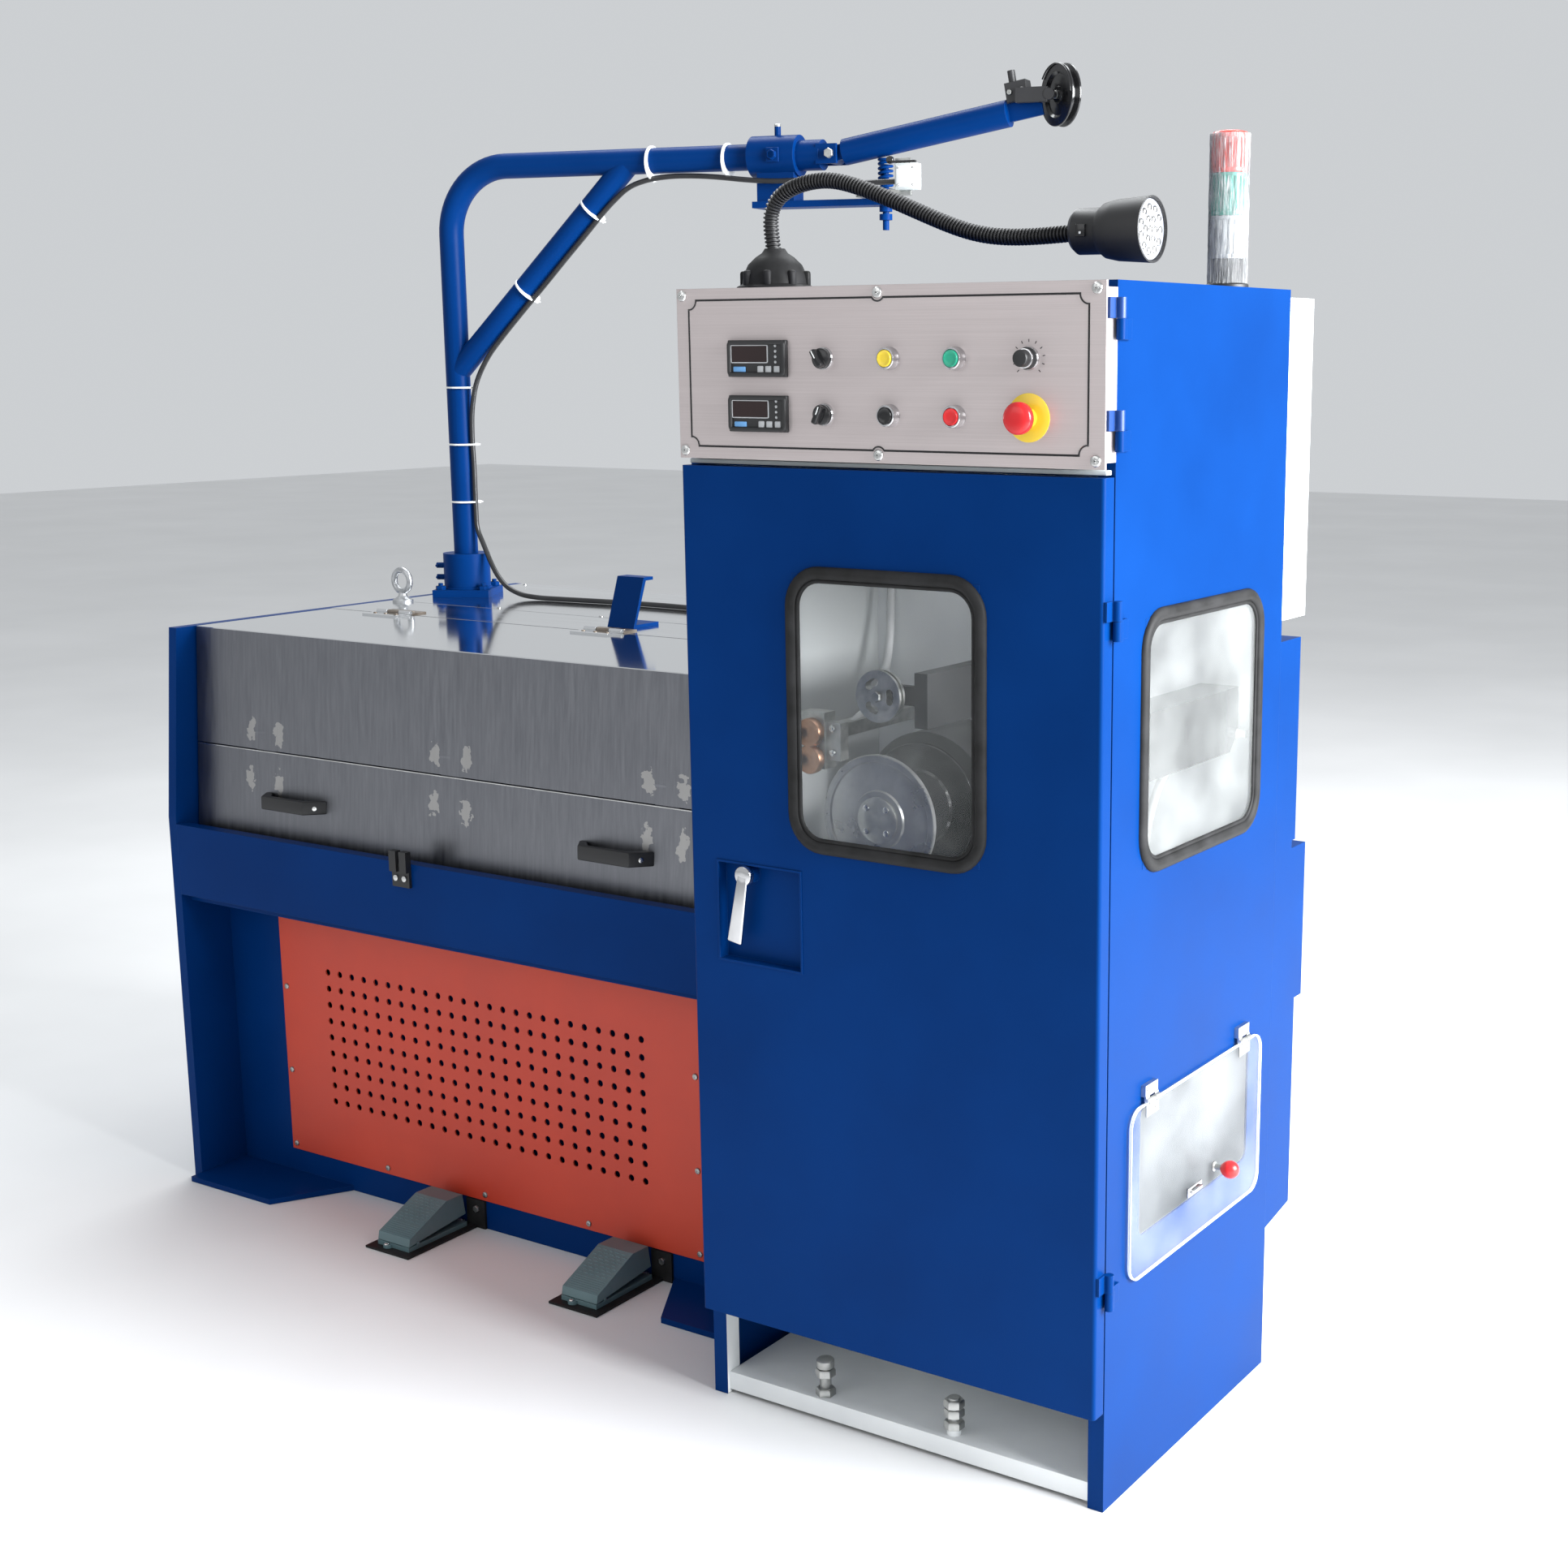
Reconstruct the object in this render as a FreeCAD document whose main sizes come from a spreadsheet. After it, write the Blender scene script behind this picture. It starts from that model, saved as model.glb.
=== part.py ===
"""Fine wire drawing machine: drawing unit with a folding lid, take-up cabinet, and an overhead guide arm.

Frame: +X runs along the machine towards the take-up cabinet, +Y to its rear, +Z up.
The origin is on the floor. All sizes are in millimetres.
"""
import FreeCAD, Part
import math
import os
import re
import Sketcher

Vector = FreeCAD.Vector
doc = FreeCAD.newDocument("WireDrawingMachine")

# ---------------------------------------------------------------- sizes
SIZES = [
    # take-up cabinet
    ("cab_left", 361, "left wall of the cabinet"),
    ("cab_width", 663, "cabinet width"),
    ("cab_front", -470, "front edge of the cabinet's walls"),
    ("cab_depth", 518, "cabinet depth"),
    ("cab_height", 1622, "cabinet height"),
    ("sheet", 4, "thickness of the cabinet's walls"),
    ("post_width", 24, "width of the front posts"),
    ("post_depth", 30, "depth of the front posts"),
    ("shelf_height", 160, "underside of the take-up chamber's floor"),
    ("console_floor", 1386, "underside of the shelf under the console"),
    ("pan_height", 34, "top of the white pan in the foot of the cabinet"),
    ("inner_wall_front", -20, "front face of the plate that carries the spool"),
    ("plate", 6, "thickness of the plate that carries the spool"),
    # door and control panel
    ("front_gap", 1.5, "gap between the cabinet and what closes it"),
    ("door_left", 367, "left edge of the door and the control panel"),
    ("door_width", 658, "width of the door and the control panel"),
    ("door_bottom", 147, "bottom edge of the door"),
    ("door_height", 1239, "height of the door"),
    ("door_thick", 28.5, "thickness of the door and of the control panel"),
    ("door_skin", 3, "sheet thickness of the door"),
    ("console_bottom", 1396, "bottom edge of the control panel"),
    ("console_high", 225, "height of the control panel"),
    ("console_plate", 4, "thickness of the brushed plate"),
    ("hinge_radius", 6, "radius of a cabinet hinge's barrel"),
    ("hinge_side", 9, "hinge line, out from the cabinet's right wall"),
    ("hinge_ahead", 7, "hinge line, ahead of the cabinet's front"),
    ("hinge_high", 50, "height of a cabinet hinge"),
    # windows
    ("seal_width", 22, "visible width of a window's rubber seal"),
    ("seal_proud", 7, "how far a seal stands proud"),
    ("pane", 5, "thickness of a window pane"),
    ("front_window_left", 541, "outer edge of the front window's seal"),
    ("front_window_bottom", 865, "outer edge of the front window's seal"),
    ("front_window_width", 317, "outer width of the front window's seal"),
    ("front_window_high", 393, "outer height of the front window's seal"),
    ("side_window_front", -394, "outer edge of the side window's seal"),
    ("side_window_bottom", 863, "outer edge of the side window's seal"),
    ("side_window_width", 372, "outer width of the side window's seal"),
    ("side_window_high", 351, "outer height of the side window's seal"),
    # side hatch
    ("hatch_front", -377, "front edge of the threading hatch"),
    ("hatch_bottom", 361, "bottom edge of the threading hatch"),
    ("hatch_width", 346, "width of the threading hatch"),
    ("hatch_high", 182, "height of the threading hatch"),
    ("cover_front", -414, "front edge of the clear cover"),
    ("cover_bottom", 306, "bottom edge of the clear cover"),
    ("cover_width", 416, "width of the clear cover"),
    ("cover_high", 245, "height of the clear cover"),
    ("cover_thick", 5, "thickness of the clear cover"),
    ("cover_gap", 2, "gap between the cover and the wall"),
    # drawing unit
    ("unit_left", -1003, "inner face of the drawing unit's end plate"),
    ("end_plate", 20, "thickness of the end plate"),
    ("unit_front", -312, "front face of the beam"),
    ("unit_rear", 620, "rear face of the drawing unit"),
    ("unit_top", 1048, "top of the drawing unit"),
    ("beam_bottom", 555, "bottom of the beam"),
    ("beam_high", 133, "height of the beam"),
    ("beam_deep", 22, "depth of the beam"),
    ("recess_front", -206, "face of the set-back lower panel"),
    ("trough_rear", 94, "rear wall of the trough"),
    ("trough_floor", 15, "thickness of the trough's floor"),
    ("unit_wall", 10, "thickness of the trough's right-hand wall"),
    ("foot_front", -337, "front edge of the feet"),
    ("foot_wide", 217, "width of a foot at its front edge"),
    ("foot_splay", 79, "how much wider a foot is at the panel"),
    ("foot_thick", 10, "thickness of a foot"),
    ("deck", 3, "thickness of the stainless sheets on top"),
    ("deck_seam", 241, "seam between the two stainless sheets"),
    ("seam_gap", 3, "width of the seams in the top"),
    # perforated panel
    ("grille_left", -864, "left edge of the perforated panel"),
    ("grille_width", 1000, "width of the perforated panel"),
    ("grille_bottom", 54, "bottom edge of the perforated panel"),
    ("grille_high", 480, "height of the perforated panel"),
    ("grille_thick", 3, "thickness of the perforated panel"),
    ("grille_across", 25, "holes in a row"),
    ("grille_rows", 9, "rows of holes"),
    ("grille_pitch", 31.2, "spacing of the holes"),
    ("grille_hole", 12, "diameter of the holes"),
    ("grille_low", 170, "height of the lowest row"),
    ("vent_deep", 60, "depth of the space behind the perforated panel"),
    ("vent_margin", 40, "margin of that space inside the panel's edge"),
    # lid
    ("lid_hinge", 80, "hinge line of the lid"),
    ("lid_front", -240, "front edge of the lid's top"),
    ("lid_lean", 4, "how far the lid's front leans, in degrees"),
    ("lid_seam", 835, "height of the fold in the lid's front"),
    ("lid_foot", 676, "bottom edge of the lid's front"),
    ("lid_sheet", 3, "thickness of the lid"),
    ("lid_gap", 5, "gap at the lid's ends"),
    ("lid_hinge_rise", 4, "hinge line above the top"),
    ("leaf_wide", 88, "width of a lid hinge"),
    ("leaf_long", 36, "length of a hinge leaf"),
    ("leaf_thick", 3, "thickness of a hinge leaf"),
    ("lid_hinge_one", -824, "centre of the left lid hinge"),
    ("lid_hinge_two", -297, "centre of the right lid hinge"),
    ("grip_long", 158, "length of a lid handle at its foot"),
    ("grip_deep", 34, "how far a lid handle stands out"),
    ("grip_high", 24, "height of a lid handle's bar"),
    ("grip_bar", 12, "thickness of a lid handle's bar"),
    ("grip_one", -734, "centre of the left lid handle"),
    ("grip_two", 16, "centre of the right lid handle"),
    ("grip_height", 748, "height of the lid handles"),
    ("catch_left", -438, "left edge of the lid's catch"),
    ("catch_wide", 40, "width of the lid's catch"),
    ("stop_high", 90, "height of the lid's stop"),
    ("stop_lean", 32, "how far the stop leans back"),
    ("stop_wide", 62, "width of the stop"),
    ("stop_foot", 142, "front of the stop's foot"),
    ("stop_thick", 6, "thickness of the stop"),
    # overhead arm
    ("mast_across", -944, "centre line of the mast, along the machine"),
    ("mast_back", 398, "centre line of the mast, to the rear"),
    ("mast_turn", 12.4, "how far the arm is turned back, in degrees"),
    ("base_side", 116, "side of the mast's base plate"),
    ("base_turn", 29.5, "how far the base plate is turned, in degrees"),
    ("base_thick", 15, "thickness of the base plate"),
    ("socket_radius", 47, "outer radius of the mast's socket"),
    ("socket_high", 72, "height of the socket above its plate"),
    ("tube_radius", 24.15, "outer radius of the arm's tube"),
    ("tube_wall", 3, "wall of the arm's tube"),
    ("running", 0.05, "running clearance"),
    ("arm_height", 1900, "centre line of the level arm"),
    ("bend_radius", 130, "radius of the arm's bend"),
    ("arm_reach", 740, "end of the level arm's tube"),
    ("strut_low", 1500, "where the strut leaves the mast"),
    ("strut_out", 405, "where the strut meets the arm"),
    ("collar_start", 669, "start of the clamping collar"),
    ("collar_long", 96, "length of the collar"),
    ("collar_radius", 38, "radius of the collar"),
    ("head_radius", 28, "radius of the tube that the collar clamps"),
    ("pivot_out", 836, "dancer arm's pivot, out along the arm"),
    ("dancer_rise", 10.1, "how far the dancer arm rises, in degrees"),
    ("dancer_long", 346, "length of the dancer arm's tube"),
    ("tip_long", 64, "length of the flat tip"),
    ("tray_start", 676, "start of the tray under the collar"),
    ("tray_long", 290, "length of the tray"),
    ("tray_low", 1805, "underside of the tray"),
    ("tray_thick", 12, "thickness of the tray"),
    ("tray_wide", 56, "width of the tray"),
    ("spring_out", 936, "spring, out along the arm"),
    ("spring_radius", 15, "outer radius of the spring"),
    ("bolt_radius", 6, "radius of the spring's bolt"),
    ("wheel_out", 1274, "centre of the guide wheel, out along the arm"),
    ("wheel_height", 1989, "centre of the guide wheel"),
    ("wheel_turn", 60.7, "heading of the guide wheel's axle, in degrees"),
    ("wheel_radius", 55, "radius of the guide wheel"),
    ("wheel_wide", 20, "width of the guide wheel"),
    # inside the chamber
    ("spool_across", 552, "centre of the spool"),
    ("spool_height", 871, "centre of the spool"),
    ("spool_radius", 96, "radius of the spool's flanges"),
    ("spool_front", -300, "front face of the spool"),
    ("spool_wide", 120, "width of the spool"),
    ("spool_core", 55, "radius of the spool's barrel"),
    ("flange", 8, "thickness of the spool's flanges"),
    ("spindle_radius", 12, "radius of the spool's spindle"),
    ("housing_radius", 110, "radius of the housing behind the spool"),
    ("roller_across", 558, "centre of the guide roller"),
    ("roller_height", 1054, "centre of the guide roller"),
    ("roller_radius", 38, "radius of the guide roller"),
    ("roller_wide", 14, "width of the guide roller"),
    ("roller_front", -307, "front face of the guide roller"),
    ("die_rear", -270, "rear face of the die holder"),
    # control panel fittings
    ("row_top", 1529, "upper row of controls"),
    ("row_low", 1457, "lower row of controls"),
    ("meter_left", 456, "left edge of the meters"),
    ("meter_wide", 96, "width of a meter"),
    ("meter_high", 48, "height of a meter"),
    ("meter_proud", 10, "how far a meter stands proud"),
    ("column_one", 610, "column of the selectors"),
    ("column_two", 713, "second column of controls"),
    ("column_three", 812.5, "third column of controls"),
    ("column_four", 918, "fourth column of controls"),
    ("bezel_radius", 14.5, "radius of a control's ring"),
    ("bezel_proud", 6, "how far a ring stands proud"),
    ("button_radius", 11, "radius of a push button"),
    ("button_gap", 0.5, "gap round a push button"),
    ("button_proud", 9, "how far a push button stands proud"),
    ("button_travel", 5, "travel of a push button"),
    ("stop_radius", 20, "radius of the stop button's head"),
    # door handle
    ("cup_left", 413, "left edge of the handle's cup"),
    ("cup_bottom", 690, "bottom edge of the handle's cup"),
    ("cup_side", 147, "side of the handle's cup"),
    ("cup_deep", 20, "depth of the handle's cup"),
    ("lever_across", 463, "pivot of the lever"),
    ("lever_height", 819, "pivot of the lever"),
    ("lever_long", 104, "length of the lever"),
    ("lever_lean", 10, "how far the lever leans, in degrees"),
    # foot switches
    ("pedal_one", -438, "centre of the left foot switch"),
    ("pedal_two", -9, "centre of the right foot switch"),
    ("pedal_front", -362, "front of a foot switch"),
    ("pedal_wide", 76, "width of a foot switch"),
    ("pedal_long", 140, "length of a foot switch"),
    ("tray_rise", 10, "height of a foot switch's tray"),
    ("pedal_toe", 27, "height of a foot switch at its front"),
    ("pedal_heel", 66, "height of a foot switch at its rear"),
    ("pedal_travel", 6, "angle that a foot switch turns, in degrees"),
    ("mat_thick", 4, "thickness of the plate under a foot switch"),
]
ALIASES = {name for name, value, note in SIZES}
sheet = doc.addObject("Spreadsheet::Sheet", "Sizes")
for row, (name, value, note) in enumerate(SIZES, start=1):
    sheet.set(f"A{row}", note)
    sheet.set(f"B{row}", str(value))
    sheet.setAlias(f"B{row}", name)
doc.recompute()


def formula(text):
    """Names of sizes in a formula are read from the sheet."""
    return re.sub(r"[a-z_]+", lambda m: "Sizes." + m[0] if m[0] in ALIASES else m[0], str(text))


def size(text):
    """The present value of a formula, for shapes that are worked out here."""
    return float(doc.getObject("Sizes").evalExpression(formula(text)))


# ---------------------------------------------------------------- tools for building
UP, ALONG, BACK = Vector(0, 0, 1), Vector(1, 0, 0), Vector(0, 1, 0)
TO_X = FreeCAD.Rotation(BACK, 90)
TO_Y = FreeCAD.Rotation(ALONG, -90)
UPRIGHT = FreeCAD.Rotation()
nodes = []


def bind(thing, **formulas):
    """Each property, written with _ for a dot, follows its formula."""
    for path, text in formulas.items():
        thing.setExpression(path.replace("_", "."), formula(text))
    return thing


def put(thing, x=0, y=0, z=0, turn=UPRIGHT):
    """Places a piece, each coordinate bound to its formula."""
    thing.Placement = FreeCAD.Placement(Vector(), turn)
    return bind(thing, Placement_Base_x=x, Placement_Base_y=y, Placement_Base_z=z)


def block(x, y, z, long, deep, high):
    """A box from its lowest corner."""
    return put(bind(doc.addObject("Part::Box", "Block"), Length=long, Width=deep, Height=high), x, y, z)


def rod(radius, long, x, y, z, turn=UPRIGHT):
    """A cylinder from the centre of one end."""
    return put(bind(doc.addObject("Part::Cylinder", "Rod"), Radius=radius, Height=long), x, y, z, turn)


def taper(near, far, long, x, y, z, turn=UPRIGHT):
    """A cone from the centre of one end."""
    cone = doc.addObject("Part::Cone", "Taper")
    return put(bind(cone, Radius1=near, Radius2=far, Height=long), x, y, z, turn)


def join(*pieces):
    """Pieces joined into one; those that don't touch stay separate solids of it."""
    fused = doc.addObject("Part::MultiFuse", "Join")
    fused.Shapes = list(pieces)
    return fused


def less(base, *tools):
    """A piece with others taken out of it."""
    cut = doc.addObject("Part::Cut", "Less")
    cut.Base = base
    cut.Tool = tools[0] if len(tools) == 1 else join(*tools)
    return cut


def rounded(base, radius, direction):
    """A piece with its edges along one direction rounded."""
    doc.recompute()
    fillet = doc.addObject("Part::Fillet", "Rounded")
    fillet.Base = base
    edges = []
    for number, edge in enumerate(base.Shape.Edges, start=1):
        if edge.Curve.TypeId == "Part::GeomLine" and abs(edge.Curve.Direction.dot(direction)) > 0.999:
            edges.append((number, radius, radius))
    fillet.Edges = edges
    return fillet


def plane(body, role):
    """One of a body's own origin planes."""
    return next(f for f in body.Origin.OriginFeatures if f.Role == role)


def sketch_outline(body, role, corners):
    """A closed outline whose corners are each bound to a pair of formulas."""
    outline = body.newObject("Sketcher::SketchObject", "Outline")
    outline.AttachmentSupport = [(plane(body, role), "")]
    outline.MapMode = "FlatFace"
    points = [Vector(size(across), size(up), 0) for across, up in corners]
    for number, point in enumerate(points):
        outline.addGeometry(Part.LineSegment(point, points[(number + 1) % len(points)]), False)
    for number in range(len(points)):
        outline.addConstraint(Sketcher.Constraint("Coincident", number, 2, (number + 1) % len(points), 1))
    for number, (across, up) in enumerate(corners):
        for kind, text, value in (("DistanceX", across, points[number].x), ("DistanceY", up, points[number].y)):
            held = outline.addConstraint(Sketcher.Constraint(kind, -1, 1, number, 1, value))
            outline.setExpression(f"Constraints[{held}]", formula(text))
    return outline


def prism(role, corners, thick, x=0, y=0, z=0):
    """A flat outline made solid: YZ outlines grow to +X, XY outlines upwards."""
    body = doc.addObject("PartDesign::Body", "Prism")
    pad = body.newObject("PartDesign::Pad", "Pad")
    pad.Profile = sketch_outline(body, role, corners)
    bind(pad, Length=thick)
    return put(body, x, y, z)


def bent_tube(points, bends, outer, inner=0):
    """A tube along straight runs joined by tangent arcs, one bend radius for each middle point."""
    edges, start = [], points[0]
    for number, bend in enumerate(bends, start=1):
        corner = points[number]
        before = (points[number - 1] - corner).normalize()
        after = (points[number + 1] - corner).normalize()
        half = before.getAngle(after) / 2
        reach = bend / math.tan(half)
        middle = (before + after).normalize()
        centre = corner + middle * (bend / math.sin(half))
        first, last = corner + before * reach, corner + after * reach
        edges.append(Part.LineSegment(start, first).toShape())
        edges.append(Part.Arc(first, centre - middle * bend, last).toShape())
        start = last
    edges.append(Part.LineSegment(start, points[-1]).toShape())
    path = Part.Wire(edges)
    heading = points[1] - points[0]

    def swept(radius):
        ring = Part.Wire([Part.makeCircle(radius, points[0], heading)])
        return path.makePipeShell([ring], True, False)

    return swept(outer).cut(swept(inner)) if inner else swept(outer)


def shaped(shape, x=0, y=0, z=0, turn=UPRIGHT):
    """A piece whose shape is worked out here from the sheet."""
    feature = doc.addObject("Part::Feature", "Shaped")
    feature.Shape = shape
    return put(feature, x, y, z, turn)


def node(label, piece):
    """Names a finished piece; its label is its file's name."""
    piece.Label = label
    nodes.append(piece)
    return piece


# ---------------------------------------------------------------- take-up cabinet
CAB_RIGHT = "(cab_left + cab_width)"
CAB_REAR = "(cab_front + cab_depth)"
FACE = "(cab_front - front_gap - door_thick)"
HINGE_X = "(cab_left + cab_width + hinge_side)"
HINGE_Y = "(cab_front - hinge_ahead)"


def window_hole(along, front, bottom, width, high, deep):
    """The hole for a window, hidden behind the middle of its seal."""
    inset = "(seal_width/2)"
    if along == "x":
        return block(f"{front} + {inset}", deep[0], f"{bottom} + {inset}",
                     f"{width} - seal_width", deep[1], f"{high} - seal_width")
    return block(deep[0], f"{front} + {inset}", f"{bottom} + {inset}",
                 deep[1], f"{width} - seal_width", f"{high} - seal_width")


def cabinet_shell():
    """Folded sheet housing, open at the front, with a shelf under the chamber and one under the console."""
    outer = block("cab_left", "cab_front", 0, "cab_width", "cab_depth", "cab_height")
    hollow = block("cab_left + sheet", "cab_front - 1", -1, "cab_width - 2*sheet",
                   "cab_depth + 1 - sheet", "cab_height + 1 - sheet")
    left_post = block("cab_left + sheet", "cab_front", 0, "post_width - sheet", "post_depth", "cab_height - sheet")
    right_post = block(f"{CAB_RIGHT} - post_width", "cab_front", 0, "post_width - sheet", "post_depth",
                       "cab_height - sheet")
    inside = ("cab_left + sheet", "cab_width - 2*sheet")
    shelf = block(inside[0], "cab_front", "shelf_height", inside[1], "cab_depth - sheet", "sheet")
    console_shelf = block(inside[0], "cab_front", "console_floor", inside[1], "cab_depth - sheet", "sheet")
    header = block(inside[0], "cab_front", "cab_height - sheet - post_width", inside[1], "sheet", "post_width")
    window = window_hole("y", "side_window_front", "side_window_bottom", "side_window_width", "side_window_high",
                         (f"{CAB_RIGHT} - sheet - 1", "sheet + 2"))
    hatch = block(f"{CAB_RIGHT} - sheet - 1", "hatch_front", "hatch_bottom", "sheet + 2", "hatch_width",
                  "hatch_high")
    hatch_corners = rounded(hatch, 14, ALONG)
    walls = less(outer, hollow, window, hatch_corners)
    return join(walls, left_post, right_post, shelf, console_shelf, header)


def base_pan():
    """White floor pan in the foot of the cabinet, its front edge turned down, with two levelling bolts."""
    x, wide = "cab_left + post_width", "cab_width - 2*post_width"
    floor = block(x, "cab_front + 6", "pan_height - sheet", wide, "cab_depth - sheet - 6", "sheet")
    lip = block(x, "cab_front + 6", 6, wide, "sheet", "pan_height - 6")
    bolts = []
    for x, nuts in (("cab_left + 188", (0, 46)), ("cab_left + 411", (0, 26, 40))):
        y = "cab_front + 24"
        bolts.append(rod(6, 56, x, y, "pan_height"))
        bolts.extend(rod(10.5, 9, x, y, f"pan_height + {rise}") for rise in nuts)
    return join(floor, lip, *bolts)


def spindle_wall():
    """White plate across the chamber that carries the spool, with an upright channel."""
    low, high = "shelf_height + sheet", "console_floor - shelf_height - sheet"
    wall = block("cab_left + sheet", "inner_wall_front", low, "cab_width - 2*sheet", "plate", high)
    channel = block("cab_left + 190", "inner_wall_front - 22", low, 46, 22, high)
    slot = block("cab_left + 206", "inner_wall_front - 23", "roller_height - 40", 14, 20,
                 "console_floor - roller_height")
    ring = rod("housing_radius + running", "plate + 24", "spool_across", "inner_wall_front - 23", "spool_height", TO_Y)
    return less(join(wall, less(channel, slot)), ring)


def chamber_brackets():
    """Black housing with the spool's spindle, and the black upright with the roller's pin."""
    housing = rod("housing_radius", "inner_wall_front + plate - spool_front - spool_wide - 12", "spool_across",
                  "spool_front + spool_wide + 12", "spool_height", TO_Y)
    spindle = rod("spindle_radius", "spool_wide + 10", "spool_across", "spool_front + 6", "spool_height", TO_Y)
    back = "(inner_wall_front - roller_front - roller_wide - 12)"
    upright = block("roller_across + 46", f"inner_wall_front - {back}", "roller_height - 46", 22, back, 80)
    bar = block("roller_across - 12", f"inner_wall_front - {back}", "roller_height - 14", 59, 12, 28)
    pin = rod(5, "roller_wide + 15", "roller_across", "roller_front - 2", "roller_height", TO_Y)
    return join(housing, spindle, upright, bar, pin)


def die_holder():
    """Copper die holder beside a clamp, on a long post from the wall."""
    post = block("cab_left + 62", "die_rear", "roller_height - 80", 24, "inner_wall_front - die_rear", 20)
    holder = block("cab_left + 52", "die_rear - 28", "roller_height - 118", 44, 28, 84)
    clamp = block("cab_left + 96", "die_rear - 24", "roller_height - 104", 26, 20, 56)
    return join(post, holder, clamp)


def traverse_drive():
    """Black arm from the wall along the side window, cut back at its rear end, on a round stub."""
    side = f"{CAB_RIGHT} - sheet - 84"
    arm = prism("YZ_Plane", [(0, 0), (250, 0), (276, 26), (276, 92), (0, 92)], 60, side, -310, "roller_height - 78")
    stub = rod(24, "inner_wall_front + 40", f"{side} + 30", -40, "roller_height - 30", TO_Y)
    return join(arm, stub)


def window_seal(along):
    """Rubber frame round a window, with the pane's groove left open."""
    if along == "x":
        x, z = "front_window_left", "front_window_bottom"
        ring = rounded(block(x, f"{FACE} - seal_proud", z, "front_window_width", "seal_proud", "front_window_high"),
                       40, BACK)
        hole = rounded(block(f"{x} + seal_width", f"{FACE} - seal_proud - 1", f"{z} + seal_width",
                             "front_window_width - 2*seal_width", "seal_proud + 2",
                             "front_window_high - 2*seal_width"), 24, BACK)
        return less(ring, hole)
    x, y, z = CAB_RIGHT, "side_window_front", "side_window_bottom"
    ring = rounded(block(x, y, z, "seal_proud", "side_window_width", "side_window_high"), 44, ALONG)
    hole = rounded(block(f"{x} - 1", f"{y} + seal_width", f"{z} + seal_width", "seal_proud + 2",
                         "side_window_width - 2*seal_width", "side_window_high - 2*seal_width"), 26, ALONG)
    return less(ring, hole)


def side_pane():
    """Clear pane, held behind the side seal inside the wall's hole."""
    return block(f"{CAB_RIGHT} - pane", "side_window_front + seal_width/2", "side_window_bottom + seal_width/2",
                 "pane", "side_window_width - seal_width", "side_window_high - seal_width")


def signal_tower():
    """Round foot, short post and three stacked lamp lenses."""
    x, y = f"{CAB_RIGHT} - 64", "cab_front + 444"
    foot = rod(30, 8, x, y, "cab_height")
    post = rod(22, 33, x, y, "cab_height + 8")
    lenses = rod(26, 166, x, y, "cab_height + 41")
    cap = taper(26, 18, 6, x, y, "cab_height + 207")
    return join(foot, post, lenses, cap)


def work_lamp():
    """Ribbed foot, flexible neck and lamp head on top of the cabinet."""
    left, y, top = size("cab_left"), size("cab_front + 110"), size("cab_height")
    route = [Vector(left + 68, y, top + 40), Vector(left + 52, y, top + 116), Vector(left + 172, y, top + 146),
             Vector(left + 395, y, top + 58), Vector(left + 548, y, top + 62)]
    neck = shaped(bent_tube(route, [48, 80, 120], 10.5))
    x, y = "cab_left + 68", "cab_front + 110"
    flange = rod(54, 7, x, y, "cab_height")
    foot = taper(47, 40, 24, x, y, "cab_height + 7")
    bell = taper(40, 15, 22, x, y, "cab_height + 31")
    axis = "cab_height + 64"
    barrel = rod(29, 44, "cab_left + 545", y, axis, TO_X)
    cone = taper(33, 41, 66, "cab_left + 588", y, axis, TO_X)
    return join(neck, flange, foot, bell, barrel, cone)


def electrical_boxes():
    """Grey box on the back of the cabinet, and the small one on the deck that the arm's cable runs into."""
    end = along_arm(*DECK_CORD[-1])
    small = shaped(Part.makeBox(60, 48, 40, Vector(end.x, end.y - 24, size("unit_top"))))
    return join(block(f"{CAB_RIGHT} - 330", CAB_REAR, 1155, 330, 84, 456), small)


def rear_housing():
    """Blue covers down the back of the cabinet over the take-up drive."""
    upper = block(f"{CAB_RIGHT} - 330", CAB_REAR, 818, 330, 72, 306)
    middle = block(f"{CAB_RIGHT} - 340", CAB_REAR, 566, 340, 112, 240)
    lower = prism("YZ_Plane", [(0, 222), (0, 566), (86, 566), (86, 236)], 330, f"{CAB_RIGHT} - 330", CAB_REAR, 0)
    seam = block(f"{CAB_RIGHT} - 330", CAB_REAR, 806, 330, 60, 12)
    return join(upper, middle, lower, seam)


def hinge_half(bottom, low):
    """Half a cabinet hinge: the low half is fixed to the cabinet, the other to what swings."""
    half = "(hinge_high/2)"
    gap = 0.15
    z = f"{bottom}" if low else f"{bottom} + {half} + {gap}"
    barrel = rod("hinge_radius", f"{half} - {gap}", HINGE_X, HINGE_Y, z)
    if low:
        leaf = block(CAB_RIGHT, f"{HINGE_Y} + hinge_radius + 4", z, 5, 26, f"{half} - {gap}")
        web = block(CAB_RIGHT + " + 2", f"{HINGE_Y} + 2", z, "hinge_side", "hinge_radius + 4", f"{half} - {gap}")
    else:
        edge = "(door_left + door_width)"
        leaf = block(edge, "cab_front - front_gap - door_thick + 2", z, 4, 18, f"{half} - {gap}")
        web = block(edge, f"{HINGE_Y} - hinge_radius", z, f"{HINGE_X} - {edge}", "hinge_radius", f"{half} - {gap}")
    return join(barrel, leaf, web)


CONSOLE_HINGES = ("console_bottom + 21", "console_bottom + 155")
DOOR_HINGES = ("door_bottom + 151", "door_bottom + 1038")


def cabinet_hinges():
    """The fixed halves of the four black hinges."""
    return join(*[hinge_half(bottom, True) for bottom in CONSOLE_HINGES + DOOR_HINGES])


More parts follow.
